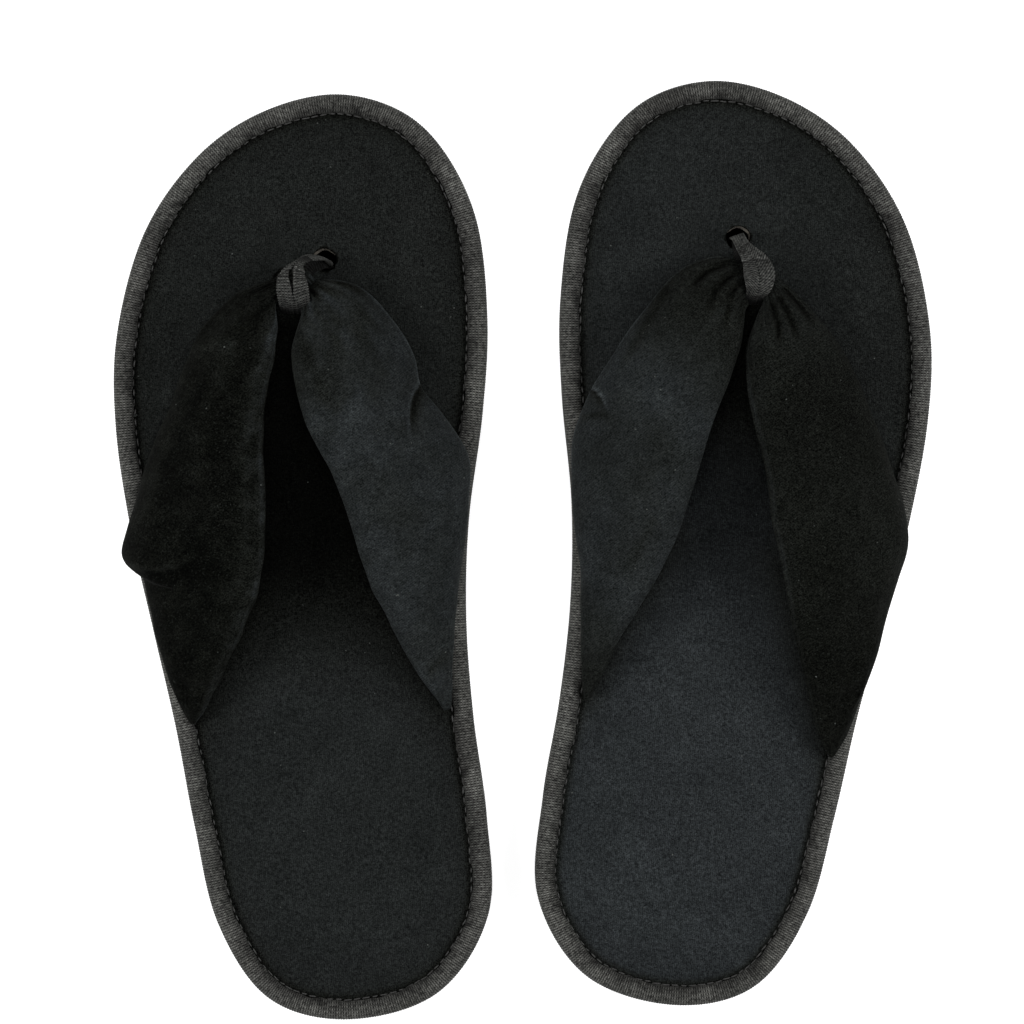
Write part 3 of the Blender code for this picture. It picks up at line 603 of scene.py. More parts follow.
BED_VELVET = velvet("bed_velvet", (0.0120, 0.0130, 0.0136), 0.09, 0.62 * MM, 0.1, 0.15)
STRAP_VELVET = velvet("strap_velvet", (0.0120, 0.0131, 0.0134), 0.20, 0.64 * MM, 2.2, 0.25)
TAPE_LOOK = woven_tape("binding_tape", (0.0450, 0.0453, 0.0418), 0.8 * MM, 1.0 * MM)
RIBBON_LOOK = woven_tape("thong_ribbon", (0.0310, 0.0318, 0.0297), 0.8 * MM, 0.9 * MM)
EVA_LOOK = outsole_rubber("outsole_eva", (0.020, 0.020, 0.021))
FOAM_LOOK = foam("midsole_foam", (0.11, 0.10, 0.085))
BOARD_LOOK = fibre_board("insole_board", (0.25, 0.19, 0.13))
CLOTH_LOOK = coarse_cloth("anchor_cloth", (0.25, 0.19, 0.13), 0.9 * MM)
WADDING_LOOK = foam("strap_wadding", (0.70, 0.69, 0.66))
THREAD_LOOK = plied_thread("binding_thread", (0.026, 0.026, 0.0245))


# ---------------------------------------------------------------- sole layers


def edge_rows(inset, sines):
    """Medial and lateral points of the outline at this inset, for rows from heel (-1) to toe (1)."""
    line = sole_outline(inset, 2400)
    toe = int(line[:, 1].argmax())
    line = np.roll(line, -toe, axis=0)
    heel = int(line[:, 1].argmin())
    lateral = line[: heel + 1][::-1]
    medial = np.vstack([line[heel:], line[:1]])
    low, high = line[heel, 1], line[0, 1]
    v = (low + high) / 2 + (high - low) / 2 * sines
    lateral_u = np.interp(v, lateral[:, 1], lateral[:, 0])
    medial_u = np.interp(v, medial[:, 1], medial[:, 0])
    return np.stack([medial_u, v], 1), np.stack([lateral_u, v], 1)


def plate(profile, rows=230, columns=70, sines=None):
    """Closed plate in the sole's shape. Its profile is (inset, z) from the bottom up round the edge.

    Returns points (row, place in the section, uvz), and which places are on top and underneath.
    """
    if sines is None:
        sines = np.sin(np.linspace(-1, 1, rows) * math.radians(89.2))
    edges = [edge_rows(inset, sines) for inset, _ in profile]
    share = np.linspace(0, 1, columns + 2)[1:-1]
    section = []
    for (medial, _), (_, z) in zip(edges, profile):
        section.append(np.c_[medial, np.full(len(medial), z)])
    top_medial, top_lateral = edges[-1]
    for t in share:
        across = top_medial * (1 - t) + top_lateral * t
        section.append(np.c_[across, np.full(len(across), profile[-1][1])])
    for (_, lateral), (_, z) in zip(edges[::-1], profile[::-1]):
        section.append(np.c_[lateral, np.full(len(lateral), z)])
    bottom_medial, bottom_lateral = edges[0]
    for t in share[::-1]:
        across = bottom_medial * (1 - t) + bottom_lateral * t
        section.append(np.c_[across, np.full(len(across), profile[0][1])])
    points = np.stack(section, 1)
    count = len(profile)
    top = np.zeros(points.shape[1], bool)
    top[count - 1 : count + columns + 1] = True
    bottom = np.zeros(points.shape[1], bool)
    bottom[0] = True
    bottom[2 * count + columns - 1 :] = True
    return points, top, bottom


def hole_cutter(slipper, shift, radius):
    """Upright bar through the thong hole, slightly out of round as a punched hole is."""
    hole = np.array(SLIPPERS[slipper]["hole"]) * MM + np.array(shift)
    turn = np.linspace(0, 2 * math.pi, 48, endpoint=False)
    reach = radius * (1 + 0.05 * np.sin(2 * turn + 0.6) + 0.03 * np.sin(5 * turn))
    rings = []
    for z in (2 * MM, 16 * MM):
        u = hole[0] + reach * np.cos(turn)
        v = hole[1] + reach * np.sin(turn)
        rings.append(np.c_[u, v, np.full(len(turn), z)])
    points = np.stack(rings)
    return make_piece(slipper, "hole_cutter", points, tube_faces(points), FOAM_LOOK)


def make_outsole(slipper):
    """EVA sheet with a tread, cross grooves, and a soft edge."""
    probe = edge_rows(TREAD_INSET, np.array([-1.0, 1.0]))[0][:, 1]
    middle, half = probe.mean(), (probe[1] - probe[0]) / 2
    sines = list(np.sin(np.linspace(-1, 1, 210) * math.radians(89.2)))
    grooves = [
        FLEX_V + d * GROOVE_PITCH * (k + 0.5) for d in (-1, 1) for k in range(GROOVES_PER_HALF)
    ]
    walls = (-0.5 * GROOVE_WIDTH, -0.36 * GROOVE_WIDTH, 0.36 * GROOVE_WIDTH, 0.5 * GROOVE_WIDTH)
    for v in grooves:
        sines = [s for s in sines if abs(middle + half * s - v) > 0.7 * GROOVE_WIDTH]
        sines += [(v + wall - middle) / half for wall in walls]
    step = TREAD_STEP
    profile = [
        (TREAD_INSET + 0.4 * MM, 0.0),
        (TREAD_INSET + 0.1 * MM, 0.15 * MM),
        (TREAD_INSET - 0.1 * MM, step - 0.25 * MM),
        (TREAD_INSET - 0.5 * MM, step),
        (RIM_INSET + 0.5 * MM, step),
        (RIM_INSET, step + 0.5 * MM),
        (RIM_INSET, OUTSOLE_TOP - 0.3 * MM),
        (RIM_INSET + 0.3 * MM, OUTSOLE_TOP),
    ]
    points, _, bottom = plate(profile, columns=46, sines=np.sort(np.array(sines)))
    v = points[:, bottom, 1]
    depth = np.zeros_like(v)
    for groove in grooves:
        off = np.abs(v - groove)
        depth = np.maximum(depth, smoothstep(-off, -0.5 * GROOVE_WIDTH, -0.34 * GROOVE_WIDTH))
    points[:, bottom, 2] += depth * GROOVE_DEPTH
    obj = make_piece(slipper, "outsole", points, tube_faces(points), EVA_LOOK)
    finish_piece(slipper, obj, halves("outsole"))


# Layers inside the sole: name, slot, look, bottom, top, how far the hole has slipped, its radius
INNER_LAYERS = [
    ("midsole", "midsole_foam", FOAM_LOOK, 4.3 * MM, 7.3 * MM, (-0.3 * MM, -0.35 * MM), 3.45 * MM),
    ("insole_board", "insole_board", BOARD_LOOK, 7.6 * MM, 8.8 * MM, (0.0, 0.0), 3.9 * MM),
]


def make_inner_layer(slipper, name, slot, look, bottom, top, shift, radius):
    """Foam or board layer with the punched thong hole."""
    soft = 0.3 * MM
    profile = [
        (CORE_INSET + soft, bottom),
        (CORE_INSET, bottom + soft),
        (CORE_INSET, top - soft),
        (CORE_INSET + soft, top),
    ]
    points, _, _ = plate(profile, rows=190, columns=44)
    obj = make_piece(slipper, name, points, tube_faces(points), look)
    cut(obj, hole_cutter(slipper, shift, radius))
    finish_piece(slipper, obj, halves(name))


# The outline's length in millimetres, to which the puckers at the seam are scaled
PUCKER_ROUND = 745.0
# How light the bed's velvet is at the toes and at the heel, and how dark the painted shade under the V is;
# then between which places that painted shade fades in, and how much lighter the bed gets from the outer
# to the inner side
BED_TONE_AND_SHADE = {
    "left": (0.76, 0.97, 0.26, -46 * MM, 8 * MM, 0.0),
    "right": (0.90, 1.5, 0.26, 20 * MM, 52 * MM, 0.12),
}


def make_footbed(slipper):
    """Velvet laminated to foam: dips at the seam, puckers beside it, and rises a little inside."""
    top = FOOTBED_TOP
    profile = [
        (RIM_INSET + 0.3 * MM, FOOTBED_BOTTOM),
        (RIM_INSET, FOOTBED_BOTTOM + 0.4 * MM),
        (RIM_INSET, top - 0.9 * MM),
        (RIM_INSET + 0.8 * MM, top - 0.3 * MM),
        (4.4 * MM, top - 0.15 * MM),
    ]
    points, on_top, _ = plate(profile, rows=250, columns=96)
    flat = points[:, on_top].reshape(-1, 3)
    depth, nearest = distance_inside(flat[:, :2])
    seed = SEEDS[slipper]["bed"]
    place = nearest * (PUCKER_ROUND / len(OUTLINE))
    # fuller inside, pulled down and puckered at the seam, and sunk round the thong hole
    rise = 0.55 * MM * smoothstep(depth, 6.5 * MM, 22 * MM)
    rise -= 0.25 * MM * bell(depth, 6.6 * MM, 1.3 * MM)
    pucker = waves(place, seed, 13.0, 4.2) * smoothstep(depth, 5 * MM, 7 * MM)
    rise += 0.26 * MM * pucker * (1 - smoothstep(depth, 8 * MM, 17 * MM))
    hollows = plane_waves(flat, seed + 1, 60 * MM, 12 * MM)
    rise += 0.30 * MM * hollows * smoothstep(depth, 6 * MM, 20 * MM)
    hole = np.array(SLIPPERS[slipper]["hole"]) * MM
    off = np.linalg.norm(flat[:, :2] - hole, axis=1)
    rise -= 0.9 * MM * bell(np.maximum(off - HOLE_RADIUS, 0), 0, 3.2 * MM)
    flat[:, 2] += rise
    points[:, on_top] = flat.reshape(points.shape[0], -1, 3)
    # the pile's tone from toe to heel, painted shade in the wedge under the V, and painted shadows at the
    # seam and beside the straps
    u, v = points[..., 0], points[..., 1]
    toe_tone, heel_tone, v_shade, fade_from, fade_to, slope = BED_TONE_AND_SHADE[slipper]
    tone = toe_tone + (heel_tone - toe_tone) * smoothstep(-v, -60 * MM, 50 * MM)
    tone *= 1 - slope * np.clip(u / (40 * MM), -1, 1) * smoothstep(v, -30 * MM, 20 * MM)
    # painted shade under the strap's V, where the raised arms shade the bed
    behind_neck = np.maximum(75 * MM - v, 0)
    middle = 3 * MM - 0.06 * behind_neck
    reach = 5 * MM + 0.26 * behind_neck
    under = 1 - smoothstep(np.abs(u - middle), reach, reach + 9 * MM)
    under *= smoothstep(v, fade_from, fade_to) * (1 - smoothstep(v, 70 * MM, 78 * MM))
    tone *= 1 - (1 - v_shade) * under
    flat = points.reshape(-1, 3)[:, :2]
    depth = distance_inside(flat)[0]
    # painted shadow along the seam, under the tape's inner edge
    shaded = 1 - 0.6 * bell(depth, 6.2 * MM, 1.5 * MM)
    shaded *= 1 - 0.25 * np.exp(-np.maximum(depth - 6 * MM, 0) / (4 * MM))
    # painted shadows of the strap arms' inner edges falling on the bed
    for arm in ("lateral", "medial"):
        edge = [row[1][:2] for row in SLIPPERS[slipper][arm] if row[1][1] < 20]
        off, along = line_distance(flat, edge)
        shaded *= 1 - 0.5 * np.exp(-np.abs(off) / (5 * MM)) * smoothstep(along, 0.0, 0.2)
    values = {"pile_light_and_shade": tone.reshape(-1) * shaded}
    obj = make_piece(slipper, "footbed", points, tube_faces(points), BED_VELVET, values)
    cut(obj, hole_cutter(slipper, (0.0, 0.0), HOLE_RADIUS))
    finish_piece(slipper, obj, halves("footbed"))


# ---------------------------------------------------------------- binding tape and its seam

RIB_PITCH = 0.8 * MM
RIB_SAMPLES = 3
LAP_SHARE = {"left": 0.605, "right": 0.44}
STITCH_PITCH = 3.1 * MM
STITCH_LENGTH = 2.5 * MM
STITCH_RADIUS = 0.23 * MM
STITCH_INSET = 6.3 * MM
# The tape's section, (inset, z) in millimetres, from its inner edge on top round to its edge underneath
TAPE_OUTSIDE = [
    (6.10, 11.55), (6.05, 12.00), (5.50, 12.22), (4.20, 12.34), (2.90, 12.22),
    (1.70, 11.80), (0.80, 11.05), (0.25, 10.00), (0.00, 8.60), (0.00, 5.60),
    (0.05, 3.40), (0.45, 1.95), (1.30, 0.95), (2.60, 0.50), (5.90, 0.40),
]
TAPE_INSIDE = [
    (5.90, 1.10), (2.40, 1.30), (0.90, 2.80), (0.80, 9.20), (2.00, 11.10), (4.00, 11.45),
]


def outline_frame(count, inset=0.0):
    """Points along the outline, the inward direction there, and the distance travelled."""
    line = sole_outline(0.0, count)
    inwards = (sole_outline(1 * MM, count) - line) / MM
    length = travelled(np.vstack([line, line[:1]]))
    return line + inset * inwards, inwards, length[:-1], length[-1]


def make_binding(slipper):
    """Ribbed tape folded over the edge, with a wavy inner edge, puckers and a diagonal lap."""
    ribs = int(outline_frame(400)[3] / RIB_PITCH)
    count = ribs * RIB_SAMPLES
    line, inwards, place, total = outline_frame(count)
    section = np.array(TAPE_OUTSIDE + TAPE_INSIDE) * MM
    following = np.roll(section, -1, axis=0) - np.roll(section, 1, axis=0)
    normal = unit(np.stack([following[:, 1], -following[:, 0]], 1))
    outside = np.arange(len(section)) < len(TAPE_OUTSIDE)
    seed = SEEDS[slipper]["tape"]
    rib = 0.5 + 0.5 * np.cos(2 * math.pi * ribs * place / total)
    upper = np.clip((section[:, 1] - 9 * MM) / (3 * MM), 0, 1) * outside
    edge_share = smoothstep(section[:, 0], 2.5 * MM, 6 * MM) * upper
    push = -0.15 * MM * rib[:, None] * outside[None, :]
    puff = 0.16 * MM * waves(place, seed, 0.05, 0.009)[:, None] * upper[None, :]
    # where the tape's end lies over its start, on a slant
    arrive = LAP_SHARE[slipper] * total + 0.9 * (section[:, 0] - 3 * MM)[None, :] - place[:, None]
    lap = smoothstep(arrive, 0.0, 0.5 * MM) * (1 - smoothstep(arrive, 9 * MM, 24 * MM))
    lap_share = outside * (0.15 + 0.85 * upper)
    push = push - puff - 0.42 * MM * lap * lap_share[None, :]
    inset = section[None, :, 0] + normal[None, :, 0] * push
    inset = inset + 0.34 * MM * waves(place, seed + 1, 0.03, 0.006)[:, None] * edge_share
    height = section[None, :, 1] + normal[None, :, 1] * push
    stitch = 0.5 + 0.5 * np.cos(2 * math.pi * place / STITCH_PITCH)
    height = height - 0.16 * MM * stitch[:, None] * edge_share
    plan = line[:, None, :] + inwards[:, None, :] * inset[..., None]
    points = np.concatenate([plan, height[..., None]], 2)
    around = len(section)
    # painted shade where the tape turns down, towards the inner edge, between the stitches and in slanted
    # creases
    worn = 1 + 0.16 * waves(place, seed + 2, 0.08, 0.012)
    curve_shade = 0.62 + 0.38 * smoothstep(section[:, 1], 8 * MM, 12 * MM)
    curve_shade *= 1.12 - 0.58 * smoothstep(section[:, 0], 2.6 * MM, 6.0 * MM) * upper
    slanted = place[:, None] + 0.8 * section[None, :, 0]
    crease_shade = np.clip(waves(slanted, seed + 3, 0.03, 0.0045) - 0.25, 0, 1)
    crease_shade *= smoothstep(section[:, 0], 1 * MM, 5 * MM) * upper
    # shade is the tape's own random wear times that painted shade
    shade = worn[:, None] * curve_shade * (1 - 0.25 * stitch[:, None] * edge_share) * (1 - 0.7 * crease_shade)
    values = {
        "along": np.repeat(place, around),
        "across": np.tile(travelled(section), count),
        "shade": shade.reshape(-1),
    }
    faces = ring_faces(count, around, closed=True)
    obj = make_piece(slipper, "binding", points, faces, TAPE_LOOK, values)
    finish_piece(slipper, obj, halves("binding"))


def make_stitches(slipper):
    """Lockstitches along the tape's inner edge: a short arched bead of thread for each stitch."""
    total = outline_frame(400)[3]
    count = int(total / STITCH_PITCH)
    line, inwards, _, _ = outline_frame(count, STITCH_INSET)
    rng = np.random.default_rng(SEEDS[slipper]["stitches"])
    rings, sides = 7, 8
    share = np.linspace(-1, 1, rings)
    turn = np.linspace(0, 2 * math.pi, sides, endpoint=False)
    points, faces = [], []
    for k in range(count):
        tangent = np.array([-inwards[k][1], inwards[k][0]])
        lean = rng.normal(0, 0.07)
        heading = tangent + lean * inwards[k]
        aside = np.array([-heading[1], heading[0]])
        centre = line[k] + rng.normal(0, 0.1 * MM) * inwards[k]
        half = STITCH_LENGTH * rng.uniform(0.34, 0.55)
        width = STITCH_RADIUS * np.sqrt(np.clip(1 - share**6, 0.02, 1))
        first = len(points) * rings * sides
        place = centre + (share * half)[:, None] * heading
        lift = FOOTBED_TOP + rng.uniform(-0.16, 0.12) * MM + 0.30 * MM * (1 - share**2)
        ring = (
            np.c_[place, lift][:, None, :]
            + width[:, None, None] * np.cos(turn)[None, :, None] * np.array([*aside, 0])
            + width[:, None, None] * np.sin(turn)[None, :, None] * np.array([0, 0, 1])
        )
        points.append(ring)
        faces += tube_faces(ring, first)
    obj = make_piece(slipper, "binding_stitch", np.array(points), faces, THREAD_LOOK)
    finish_piece(slipper, obj, halves("binding_stitch"))


# ---------------------------------------------------------------- straps


def strap_table(slipper):
    """All rows across the strap, from the inner arm's end through the neck to the outer arm's end."""
    setting = SLIPPERS[slipper]
    near, far = (np.array([*point, NECK_MIDDLE_Z]) for point in setting["neck"])
    across = (far - near) / np.linalg.norm(far - near)
    shift = np.array([-across[1], across[0], 0]) * NECK_HALF_LENGTH
    necks = [(near + k * shift, far + k * shift, NECK_HEIGHT, 0.0) for k in (-1, 1)]
    rows = setting["medial"][::-1] + necks + setting["lateral"]
    table = np.array([[*row[0], *row[1], row[2], row[3]] for row in rows]) * MM
    neck = len(setting["medial"]) + 0.5
    return table, neck


def strap_frame(slipper, step):
    """Sections of the strap close together: centre, directions, sizes and distance from the neck."""
    table, neck_row = strap_table(slipper)
    steps = 20
    fine = catmull_rom(table, steps)
    centre = (fine[:, 0:3] + fine[:, 3:6]) / 2
    place = travelled(centre)
    neck_place = place[int(neck_row * steps)]
    wanted = np.linspace(0, place[-1], int(place[-1] / step))
    fine = resampled(fine, place, wanted)
    outer, inner = fine[:, 0:3], fine[:, 3:6]
    centre = (outer + inner) / 2
    along = np.gradient(centre, axis=0)
    across = inner - outer
    half_width = np.linalg.norm(across, axis=1) / 2
    across /= 2 * half_width[:, None]
    up = unit(np.cross(across, along))
    return {
        "centre": centre,
        "across": across,
        "up": up,
        "half_width": half_width,
        "thickness": fine[:, 6],
        "bulge": fine[:, 7],
        "from_neck": wanted - neck_place,
    }


def strap_points(f, around, shrink=0.0):
    """Points of all the sections, with the share across (-1 outer edge, 1 inner) and the rise."""
    above = int(around * STRAP_TOP_SHARE)
    turn = np.r_[np.arange(above) / above, 1 + np.arange(around - above) / (around - above)] * math.pi
    side = np.cos(turn)
    rise = np.sign(np.sin(turn)) * np.abs(np.sin(turn)) ** SECTION_FULLNESS
    x = np.maximum(f["half_width"] - shrink, 0.3 * MM)[:, None] * side
    y = np.maximum(f["thickness"] / 2 - shrink, 0.3 * MM)[:, None] * rise
    y = y + f["bulge"][:, None] * (1 - (x / f["half_width"][:, None]) ** 2)
    points = f["centre"][:, None] + x[..., None] * f["across"][:, None]
    points = points + y[..., None] * f["up"][:, None]
    return points, np.broadcast_to(side, x.shape), np.broadcast_to(np.sin(turn), x.shape)


def line_distance(points, line):
    """Distance to a line in plan, signed by its left side, and the share of the way along it."""
    line = np.array(line, float) * MM
    length = travelled(line)
    best = np.full(len(points), 1e9)
    signed = np.zeros(len(points))
    share = np.zeros(len(points))
    for k in range(len(line) - 1):
        a, b = line[k], line[k + 1]
        d = b - a
        t = np.clip(((points - a) @ d) / (d @ d), 0, 1)
        off = points - a - t[:, None] * d
        distance = np.linalg.norm(off, axis=1)
        sign = np.sign(d[0] * off[:, 1] - d[1] * off[:, 0])
        closer = distance < best
        best = np.where(closer, distance, best)
        signed = np.where(closer, distance * sign, signed)
        share = np.where(closer, (length[k] + t * (length[k + 1] - length[k])) / length[-1], share)
    return signed, share


# Folds on top of the straps, in millimetres. A crease is (line, width, depth); its depth also sets the
# painted shade in it. A lip is a flap's edge lying over what is behind it: (line, height, length of the
# painted shadow behind, 1 if the flap is on the line's left or -1 if on its right).
CREASES = {
    "left": [
        ([(13.2, 40.0), (14.4, 24.0), (14.6, 8.0), (16.4, -4.0)], 1.3, 0.55),
        ([(13.0, 79.5), (16.5, 73.0), (18.0, 66.0)], 1.1, 0.5),
        ([(20.0, 76.0), (21.0, 70.0)], 1.2, 0.45),
        ([(9.5, 77.0), (12.5, 69.0), (12.6, 62.0)], 1.1, 0.5),
        ([(-8.0, 76.5), (-12.0, 70.0), (-13.0, 63.0)], 1.4, 0.35),
        ([(-4.5, 55.0), (-9.0, 47.0), (-14.5, 41.0)], 2.2, 0.35),
        ([(-35.5, 50.0), (-33.6, 44.0), (-33.4, 38.0)], 1.2, 0.8),
        ([(38.0, -2.0), (30.0, -1.0), (24.0, -4.0)], 2.0, 0.45),
        ([(-42.5, -30.0), (-37.0, -34.0), (-35.0, -41.0)], 1.3, 0.35),
    ],
    "right": [
        ([(-24.0, 78.5), (-29.0, 68.0), (-35.5, 55.0), (-40.5, 44.0)], 1.5, 0.5),
        ([(-6.5, 85.0), (-13.5, 81.5), (-20.0, 74.5)], 1.1, 1.3),
        ([(-5.0, 82.0), (-10.5, 76.5), (-14.0, 68.0)], 1.1, 1.2),
        ([(-4.6, 79.0), (-6.6, 71.0), (-7.6, 61.0)], 1.0, 0.8),
        ([(8.8, 79.0), (14.5, 73.5), (21.0, 66.0)], 1.1, 1.2),
        ([(7.6, 76.5), (12.0, 69.5), (15.6, 60.5)], 1.1, 1.1),
        ([(6.0, 74.5), (8.4, 67.0), (9.6, 58.0)], 1.0, 0.9),
        ([(-49.0, 35.0), (-42.0, 36.5), (-38.0, 34.0)], 1.1, 0.5),
        ([(-24.0, 8.0), (-29.0, -4.0), (-33.0, -14.0)], 2.0, 0.3),
    ],
}
LIPS = {
    "left": [
        ([(55, -0.4), (48.4, -2.2), (41.8, -2.2), (36.3, -1.2), (32.5, 2.6), (30, 6)], 3.4, 6, -1),
        ([(-36.6, 52.0), (-34.0, 47.0), (-33.0, 41.0), (-33.4, 34.0)], 2.0, 2.5, 1),
    ],
    "right": [
        ([(-46.6, 45.0), (-43.0, 41.5), (-40.5, 37.0)], 0.9, 1.5, 1),
    ],
}


def fold_strap(slipper, points, top):
    """Move the points of a strap for its creases and flap edges; top is 1 where they face up. Also returns
    painted shade in the creases and behind the flap edges, with a painted highlight on each edge.
    """
    flat = points.reshape(-1, 3)
    weight = top.reshape(-1)
    rest = flat[:, :2].copy()
    shade = np.ones(len(flat))
    for line, width, depth in CREASES[slipper]:
        off, share = line_distance(rest, line)
        ends = smoothstep(share, 0.0, 0.12) * (1 - smoothstep(share, 0.55, 1.0))
        valley = bell(off, 0, width * MM)
        shoulders = bell(off, 0, 2.6 * width * MM)
        flat[:, 2] -= (1.35 * valley - 0.5 * shoulders) * depth * MM * ends * weight
        # painted shade in the crease's valley
        shade *= 1 - min(0.75, 0.75 * depth) * valley * ends
    for line, height, shadow, high_side in LIPS[slipper]:
        off, share = line_distance(rest, line)
        off = off * high_side
        ends = 1 - smoothstep(share, 0.45, 1.0)
        front = np.exp(-np.maximum(off, 0) / (9 * MM)) * (off > 0)
        behind = np.exp(np.minimum(off, 0) / (7 * MM)) * (off <= 0)
        soft = np.tanh(np.abs(off) / (0.6 * MM))
        flat[:, 2] += height * MM * ends * weight * soft * (0.55 * front - 0.45 * behind)
        # painted shadow on the pile behind the flap's edge and a painted highlight on its rim
        lip_shadow = smoothstep(-off, -0.6 * MM, 0.2 * MM) * np.exp(np.minimum(off, 0) / (shadow * MM))
        rim_highlight = bell(off, 0.5 * MM, 0.6 * MM)
        shade *= (1 - 0.88 * lip_shadow * ends) * (1 + 1.3 * rim_highlight * ends)
    return flat.reshape(points.shape), shade


# How light each arm is drawn, at the neck and further out, on the outer arm and on the inner arm: the
# pile's own tone with painted shade on the outer arm, which faces away from the light, and painted light
# on the inner arm
ARM_TONE_AND_SHADE = {"left": ((0.30, 0.21), (0.67, 1.2)), "right": ((0.60, 0.38), (0.50, 1.18))}
# How much painted highlight lies along the outer arm's inner edge, and how much lighter the pile is in
# streaks at the neck
EDGE_HIGHLIGHT = {"left": 1.7, "right": 0.2}
STREAKS = {"left": 2.2, "right": 0.5}
# How crushed it is on the outer and on the inner arm, and how much darker where the ends are sewn in
CRUSH = {"left": (0.55, 0.09), "right": (0.06, 0.06)}
TUCK_SHADE = {"left": 0.0, "right": 0.35}
# How far the gathers reach from the neck, in millimetres, and how clearly the outer arm's seam shows
GATHER_REACH = {"left": 16, "right": 27}
SEAM_SHOWS = {"left": 0.25, "right": 1.0}
# The velvet run as cloth: its grid, the frames it runs for, the pressure inside, its spare length, and
# how far it may move
CLOTH_STEP = 3.0 * MM
CLOTH_AROUND = 40
CLOTH_FRAMES = 20
CLOTH_PRESSURE = 4.0
CLOTH_SPARE = 0.06
CLOTH_LIMIT = 1.5 * MM


def settled_cloth(slipper, f, around):
    """How far each point of the tube moves when its velvet is blown up as cloth with spare length."""
    coarse = strap_frame(slipper, CLOTH_STEP)
    points, _, _ = strap_points(coarse, CLOTH_AROUND)
    mesh = closed_mesh("strap_cloth", points.reshape(-1, 3), tube_faces(points))
    obj = add_object("strap_cloth", mesh)
    scene = bpy.context.scene
    away = np.abs(coarse["from_neck"])
    held = np.flatnonzero((away < 9 * MM) | (away > 0.96 * away.max()))
    held = np.union1d(held, np.arange(len(points))[[0, 1, -2, -1]])
    group = obj.vertex_groups.new(name="held")
    picked = (held[:, None] * CLOTH_AROUND + np.arange(CLOTH_AROUND)[None, :]).reshape(-1)
    group.add(picked.tolist(), 1.0, "REPLACE")
    cloth = obj.modifiers.new("cloth", "CLOTH")
    cloth.settings.quality = 6
    cloth.settings.mass = 0.15
    cloth.settings.use_pressure = True
    cloth.settings.uniform_pressure_force = CLOTH_PRESSURE
    cloth.settings.shrink_min = -CLOTH_SPARE
    cloth.settings.vertex_group_mass = "held"
    cloth.settings.effector_weights.gravity = 0.0
    cloth.point_cache.frame_start = 1
    cloth.point_cache.frame_end = CLOTH_FRAMES
    for number in range(1, CLOTH_FRAMES + 1):
        scene.frame_set(number)
    shown = obj.evaluated_get(bpy.context.evaluated_depsgraph_get())
    settled = np.empty(len(mesh.vertices) * 3, np.float32)
    shown.data.vertices.foreach_get("co", settled)
    moved = settled.reshape(points.shape) - points
    bpy.data.objects.remove(obj)
    scene.frame_set(1)
    # held to the limit, then carried over from the coarse grid to the fine one
    length = np.linalg.norm(moved, axis=2, keepdims=True)
    moved = moved * CLOTH_LIMIT * np.tanh(length / CLOTH_LIMIT) / np.maximum(length, 1e-9)
    wrapped = np.concatenate([moved, moved[:, :1]], 1)
    turn = np.linspace(0, 1, CLOTH_AROUND + 1)
    fine_turn = np.arange(around) / around
    place = (np.searchsorted(turn, fine_turn, side="right") - 1).clip(0, CLOTH_AROUND - 1)
    part = smoothstep(fine_turn - turn[place], 0.0, 1 / CLOTH_AROUND)[None, :, None]
    spread = wrapped[:, place] * (1 - part) + wrapped[:, place + 1] * part
    grid = coarse["from_neck"]
    row = (np.searchsorted(grid, f["from_neck"], side="right") - 1).clip(0, len(grid) - 2)
    part = smoothstep(f["from_neck"] - grid[row], 0.0, CLOTH_STEP)[:, None, None]
    return spread[row] * (1 - part) + spread[row + 1] * part


def strap_pile(slipper, places, over, across, facing_up):
    """How light the pile is drawn at points this far over from the neck and across the strap, with painted
    light and shade on the arms and painted highlights along their edges.
    """
    seed = SEEDS[slipper]["strap"]
    out = smoothstep(np.abs(over), 10 * MM, 55 * MM)
    # painted shade on the outer arm and painted light on the inner arm, mixed with the pile's own tone
    outer_arm, inner_arm = (a + (b - a) * out for a, b in ARM_TONE_AND_SHADE[slipper])
    join = smoothstep(over, -4 * MM, 4 * MM)
    tone = inner_arm * (1 - join) + outer_arm * join
    # painted highlight along the outer arm's inner edge, on its top only
    tone *= 1 + EDGE_HIGHLIGHT[slipper] * bell(across, 0.90, 0.13) * facing_up * join
    # painted highlights along the tube's seam and along the inner arm's outer edge, on top only
    seam_highlight = bell(across, 0.985, 0.02) * facing_up * join
    fold_highlight = bell(across, -0.975, 0.03) * facing_up * (1 - join)
    tone *= 1 + 0.8 * seam_highlight + 1.0 * fold_highlight
    near = np.exp(-np.abs(over) / (15 * MM))
    streaks = plane_waves(np.c_[over * 0.25, across * 9 * MM], seed + 4, 9 * MM, 2 * MM)
    tone *= 1 + STREAKS[slipper] * near * np.maximum(0.3 + streaks, -0.5)
    crushed = np.maximum(plane_waves(places, seed + 5, 16 * MM, 2.5 * MM), -0.5)
    on_outer, on_inner = CRUSH[slipper]
    tone *= 1 + (on_outer * join + on_inner * (1 - join)) * crushed
    tone *= 1 + 0.18 * plane_waves(places, seed + 3, 70 * MM, 14 * MM)
    return tone * (1 - TUCK_SHADE[slipper] * smoothstep(np.abs(over), 100 * MM, 135 * MM))


